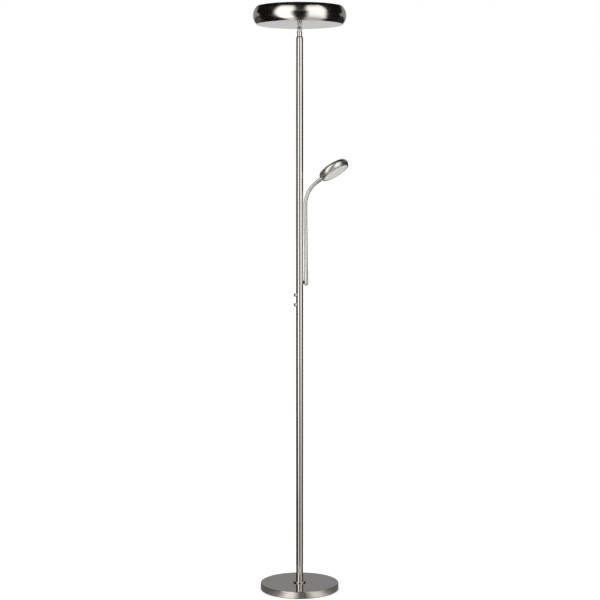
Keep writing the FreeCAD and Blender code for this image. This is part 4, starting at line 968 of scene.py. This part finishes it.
# %% Place of the reading head
READING_PITCH, READING_ROLL = math.radians(31.5), math.radians(14.5)
READING_RADIUS, READING_DEPTH = 49.5, 23.0
FERRULE_LENGTH = 17.4
centre = joints[-1] + outward * (FERRULE_LENGTH + READING_RADIUS)
tilt = Matrix.Rotation(math.radians(180) - READING_PITCH, 4, "Y") @ Matrix.Rotation(READING_ROLL, 4, "X")
back = centre - tilt @ Vector((0, 0, READING_DEPTH / 2))
reading_place = Matrix.Translation(back * MM) @ tilt
reading_nickel = satin_nickel("satin_nickel_reading", "disc", 0.34, reading_place, colour=COOL_NICKEL)
print("reading head centre", [round(v, 1) for v in centre])

# %% Reading head
READING_FLOOR, READING_LIP, READING_WALL, SHELL_DEPTH = 41.0, 46.0, 1.0, 21.8
READING = (READING_FLOOR, 2.0, READING_RADIUS, READING_LIP, SHELL_DEPTH)
outside = spun_side(READING, 36)
inside = spun_side(READING, 18, READING_WALL, SHELL_DEPTH)
nickel_piece("reading_shell_spun", [
    (0, 0), (READING_FLOOR - 0.3, 0), *outside, *reversed(inside), (0, READING_WALL),
], "reading_light", reading_nickel, place=reading_place, around=192, hides=["reading_shell"])

BEZEL_HOLE = 41.2
nickel_piece("reading_ring", [
    (BEZEL_HOLE, SHELL_DEPTH), (READING_LIP, SHELL_DEPTH), (READING_LIP, SHELL_DEPTH + 0.6, 0.4),
    (READING_LIP - 0.8, READING_DEPTH, 0.4), (BEZEL_HOLE, READING_DEPTH, 0.3),
], "reading_light", reading_nickel, place=reading_place, around=192, hides=["reading_bezel"])

FACE_BACK, FLANGE_RADIUS, FACE_RADIUS = 20.0, 42.3, 41.0
face = turned("reading_opal_disc", [
    (0, FACE_BACK), (FLANGE_RADIUS, FACE_BACK), (FLANGE_RADIUS, SHELL_DEPTH), (FACE_RADIUS, READING_DEPTH - 0.4, 0.3),
    (0, READING_DEPTH - 0.25),
], "reading_light", opal, place=reading_place, around=160, hides=["reading_diffuser"])
print("reading head of", 2 * READING_RADIUS, "mm")

# %% Ferrule
BORE_LOW, BORE_HIGH, BORE_STEP = 4.6, 4.2, 6.0
FERRULE_RADIUS, FERRULE_START, FERRULE_END = 6.2, 1.4, FERRULE_LENGTH + 3.2
ferrule_place = Matrix.Translation(joints[-1] * MM) @ Matrix.Rotation(math.radians(90) - FERRULE_PITCH, 4, "Y")
ferrule_nickel = satin_nickel("satin_nickel_ferrule", "tube", 0.18, ferrule_place)
nickel_piece("reading_ferrule_turned", [
    (BORE_LOW, FERRULE_START), (FERRULE_RADIUS - 0.3, FERRULE_START, 0.4), (FERRULE_RADIUS, FERRULE_START + 2, 0.6),
    (FERRULE_RADIUS, FERRULE_END), (BORE_HIGH, FERRULE_END), (BORE_HIGH, BORE_STEP), (BORE_LOW, BORE_STEP),
], "reading_light", ferrule_nickel, place=ferrule_place, around=96, hides=["reading_ferrule"])
print("ferrule of", 2 * FERRULE_RADIUS, "mm")

# %% [markdown]
# ## The dimmer knobs
# Two small knobs look out of the pole at the left. Their rims have a fine straight grip, which repeats round the
# knob, so it is one ridge that Geometry Nodes set round a circle.

# %% Grip of the knobs
RIDGES = 40
knob_nickel = satin_nickel("satin_nickel_knob", "tube", 0.16)
grip, grip_inputs = start_tree("knob_grip", {
    "Ridges": RIDGES, "Knob Radius": 0.00492, "Ridge Width": 0.0004, "Ridge Length": 0.0038})
given = add(grip, "NodeGroupInput").outputs
half_width = calc(grip, "MULTIPLY", given["Ridge Width"], 0.5)
ridge = add(grip, "GeometryNodeMeshCylinder", {
    "Vertices": 8, "Radius": half_width, "Depth": given["Ridge Length"]}, fill_type="TRIANGLE_FAN")
circle = add(grip, "GeometryNodeMeshCircle", {"Vertices": given["Ridges"], "Radius": given["Knob Radius"]})
points = add(grip, "GeometryNodeMeshToPoints", {"Mesh": circle.outputs[0]})
ridges = add(grip, "GeometryNodeInstanceOnPoints", {"Points": points.outputs[0], "Instance": ridge.outputs[0]})
end_tree(grip, ridges.outputs[0], knob_nickel)
print("grip inputs:", list(grip_inputs))

# %% Knobs
KNOB_AZIMUTH = math.radians(205)
KNOB_START, KNOB_END, KNOB_RADIUS = 11.5, 18.1, 5.0
SKIRT_BORE, SKIRT_END, SHAFT_HOLE = 3.7, KNOB_START + 2.2, 2.05
DISH_RADIUS, DISH_DEPTH, FACE_WALL = 3.0, 0.25, 1.0
GRIP_MIDDLE = KNOB_START + 2.6
outward_turn = Matrix.Rotation(KNOB_AZIMUTH, 4, "Z") @ Matrix.Rotation(math.radians(90), 4, "Y")
for which in ("upper", "lower"):
    low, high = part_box(f"dimmer_knob_{which}")
    place = Matrix.Translation((0, 0, (low.z + high.z) / 2)) @ outward_turn
    nickel = satin_nickel(f"satin_nickel_knob_{which}", "disc", 0.16, place)
    nickel_piece(f"knob_{which}", [
        (SKIRT_BORE, KNOB_START), (KNOB_RADIUS, KNOB_START, 0.3), (KNOB_RADIUS, KNOB_END, 1.1),
        (DISH_RADIUS + 0.4, KNOB_END, 0.5), (DISH_RADIUS, KNOB_END - DISH_DEPTH, 0.3), (0, KNOB_END - DISH_DEPTH),
        (0, KNOB_END - FACE_WALL), (SHAFT_HOLE, KNOB_END - FACE_WALL), (SHAFT_HOLE, SKIRT_END),
        (SKIRT_BORE, SKIRT_END),
    ], f"{which}_knob", nickel, place=place, around=96, hides=[f"dimmer_knob_{which}"])
    blank = show("grip_blank", bpy.data.meshes.new("grip_blank"))
    modifier = blank.modifiers.new("grip", "NODES")
    modifier.node_group = grip
    modifier[grip_inputs["Ridges"]] = RIDGES
    mesh = worked_in(blank)
    bpy.data.objects.remove(blank)
    mesh.name = f"knob_grip_{which}"
    mesh.transform(place @ Matrix.Translation(in_mm(0, 0, GRIP_MIDDLE)))
    smooth(mesh, 50)
    piece = show(mesh.name, mesh)
    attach(piece, f"{which}_knob")
    print(piece.name, len(mesh.polygons), "faces")

# %% [markdown]
# ## Finishes of the CAD pieces
# The rest of the lamp stays as the CAD model has it. Each of these pieces gets the finish of its real material.

# %% Finish every CAD node
finishes = {
    foam: ["base_pad"],
    cast_iron: ["base_weight"],
    disc_nickel: ["base_cover", "base_collar"],
    zinc: ["base_nipple", "base_washer", "base_nut", "pole_foot_insert", "pole_couplers", "tilt_bolt", "tilt_nut",
           "tilt_washers", "head_stiffener", "head_nut", "plate_posts", "plate_screws", "arm_bolt", "arm_nut",
           "reading_screw"],
    rubber: ["lead_grommet"],
    sheath: ["mains_lead", "head_lead"],
    dimmer_plastic: ["dimmer_bodies"],
    board_mask: ["dimmer_board", "led_board", "reading_board"],
    aluminium: ["led_plate", "reading_plate", "dimmer_shaft_upper", "dimmer_shaft_lower"],
    chip_resin: ["led_chips"],
    white_plastic: ["led_driver", "head_ring"],
    opal: ["head_diffuser", "reading_diffuser"],
    head_nickel: ["head_shell"],
    reading_nickel: ["reading_shell", "reading_bezel"],
    ferrule_nickel: ["reading_ferrule"],
    arm_nickel: ["arm_sleeve"],
    hose_nickel: [f"arm_link_{n:02d}" for n in range(1, LINKS + 1)],
    joint_nickel_painted_highlight: ["neck_fork", "head_tongue"],
    tube_nickel: ["neck", "arm_spacer", "pole_section_1", "pole_section_2",
                  "pole_section_3", "pole_section_4", "dimmer_knob_upper", "dimmer_knob_lower"],
}
for material, names in finishes.items():
    for name in names:
        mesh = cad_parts[name].data
        mesh.materials.clear()
        mesh.materials.append(material)
print("CAD nodes without a finish:", sorted(set(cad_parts) - set(sum(finishes.values(), []))))

# %% [markdown]
# ## The last look

# %% End
print("the scene is built")
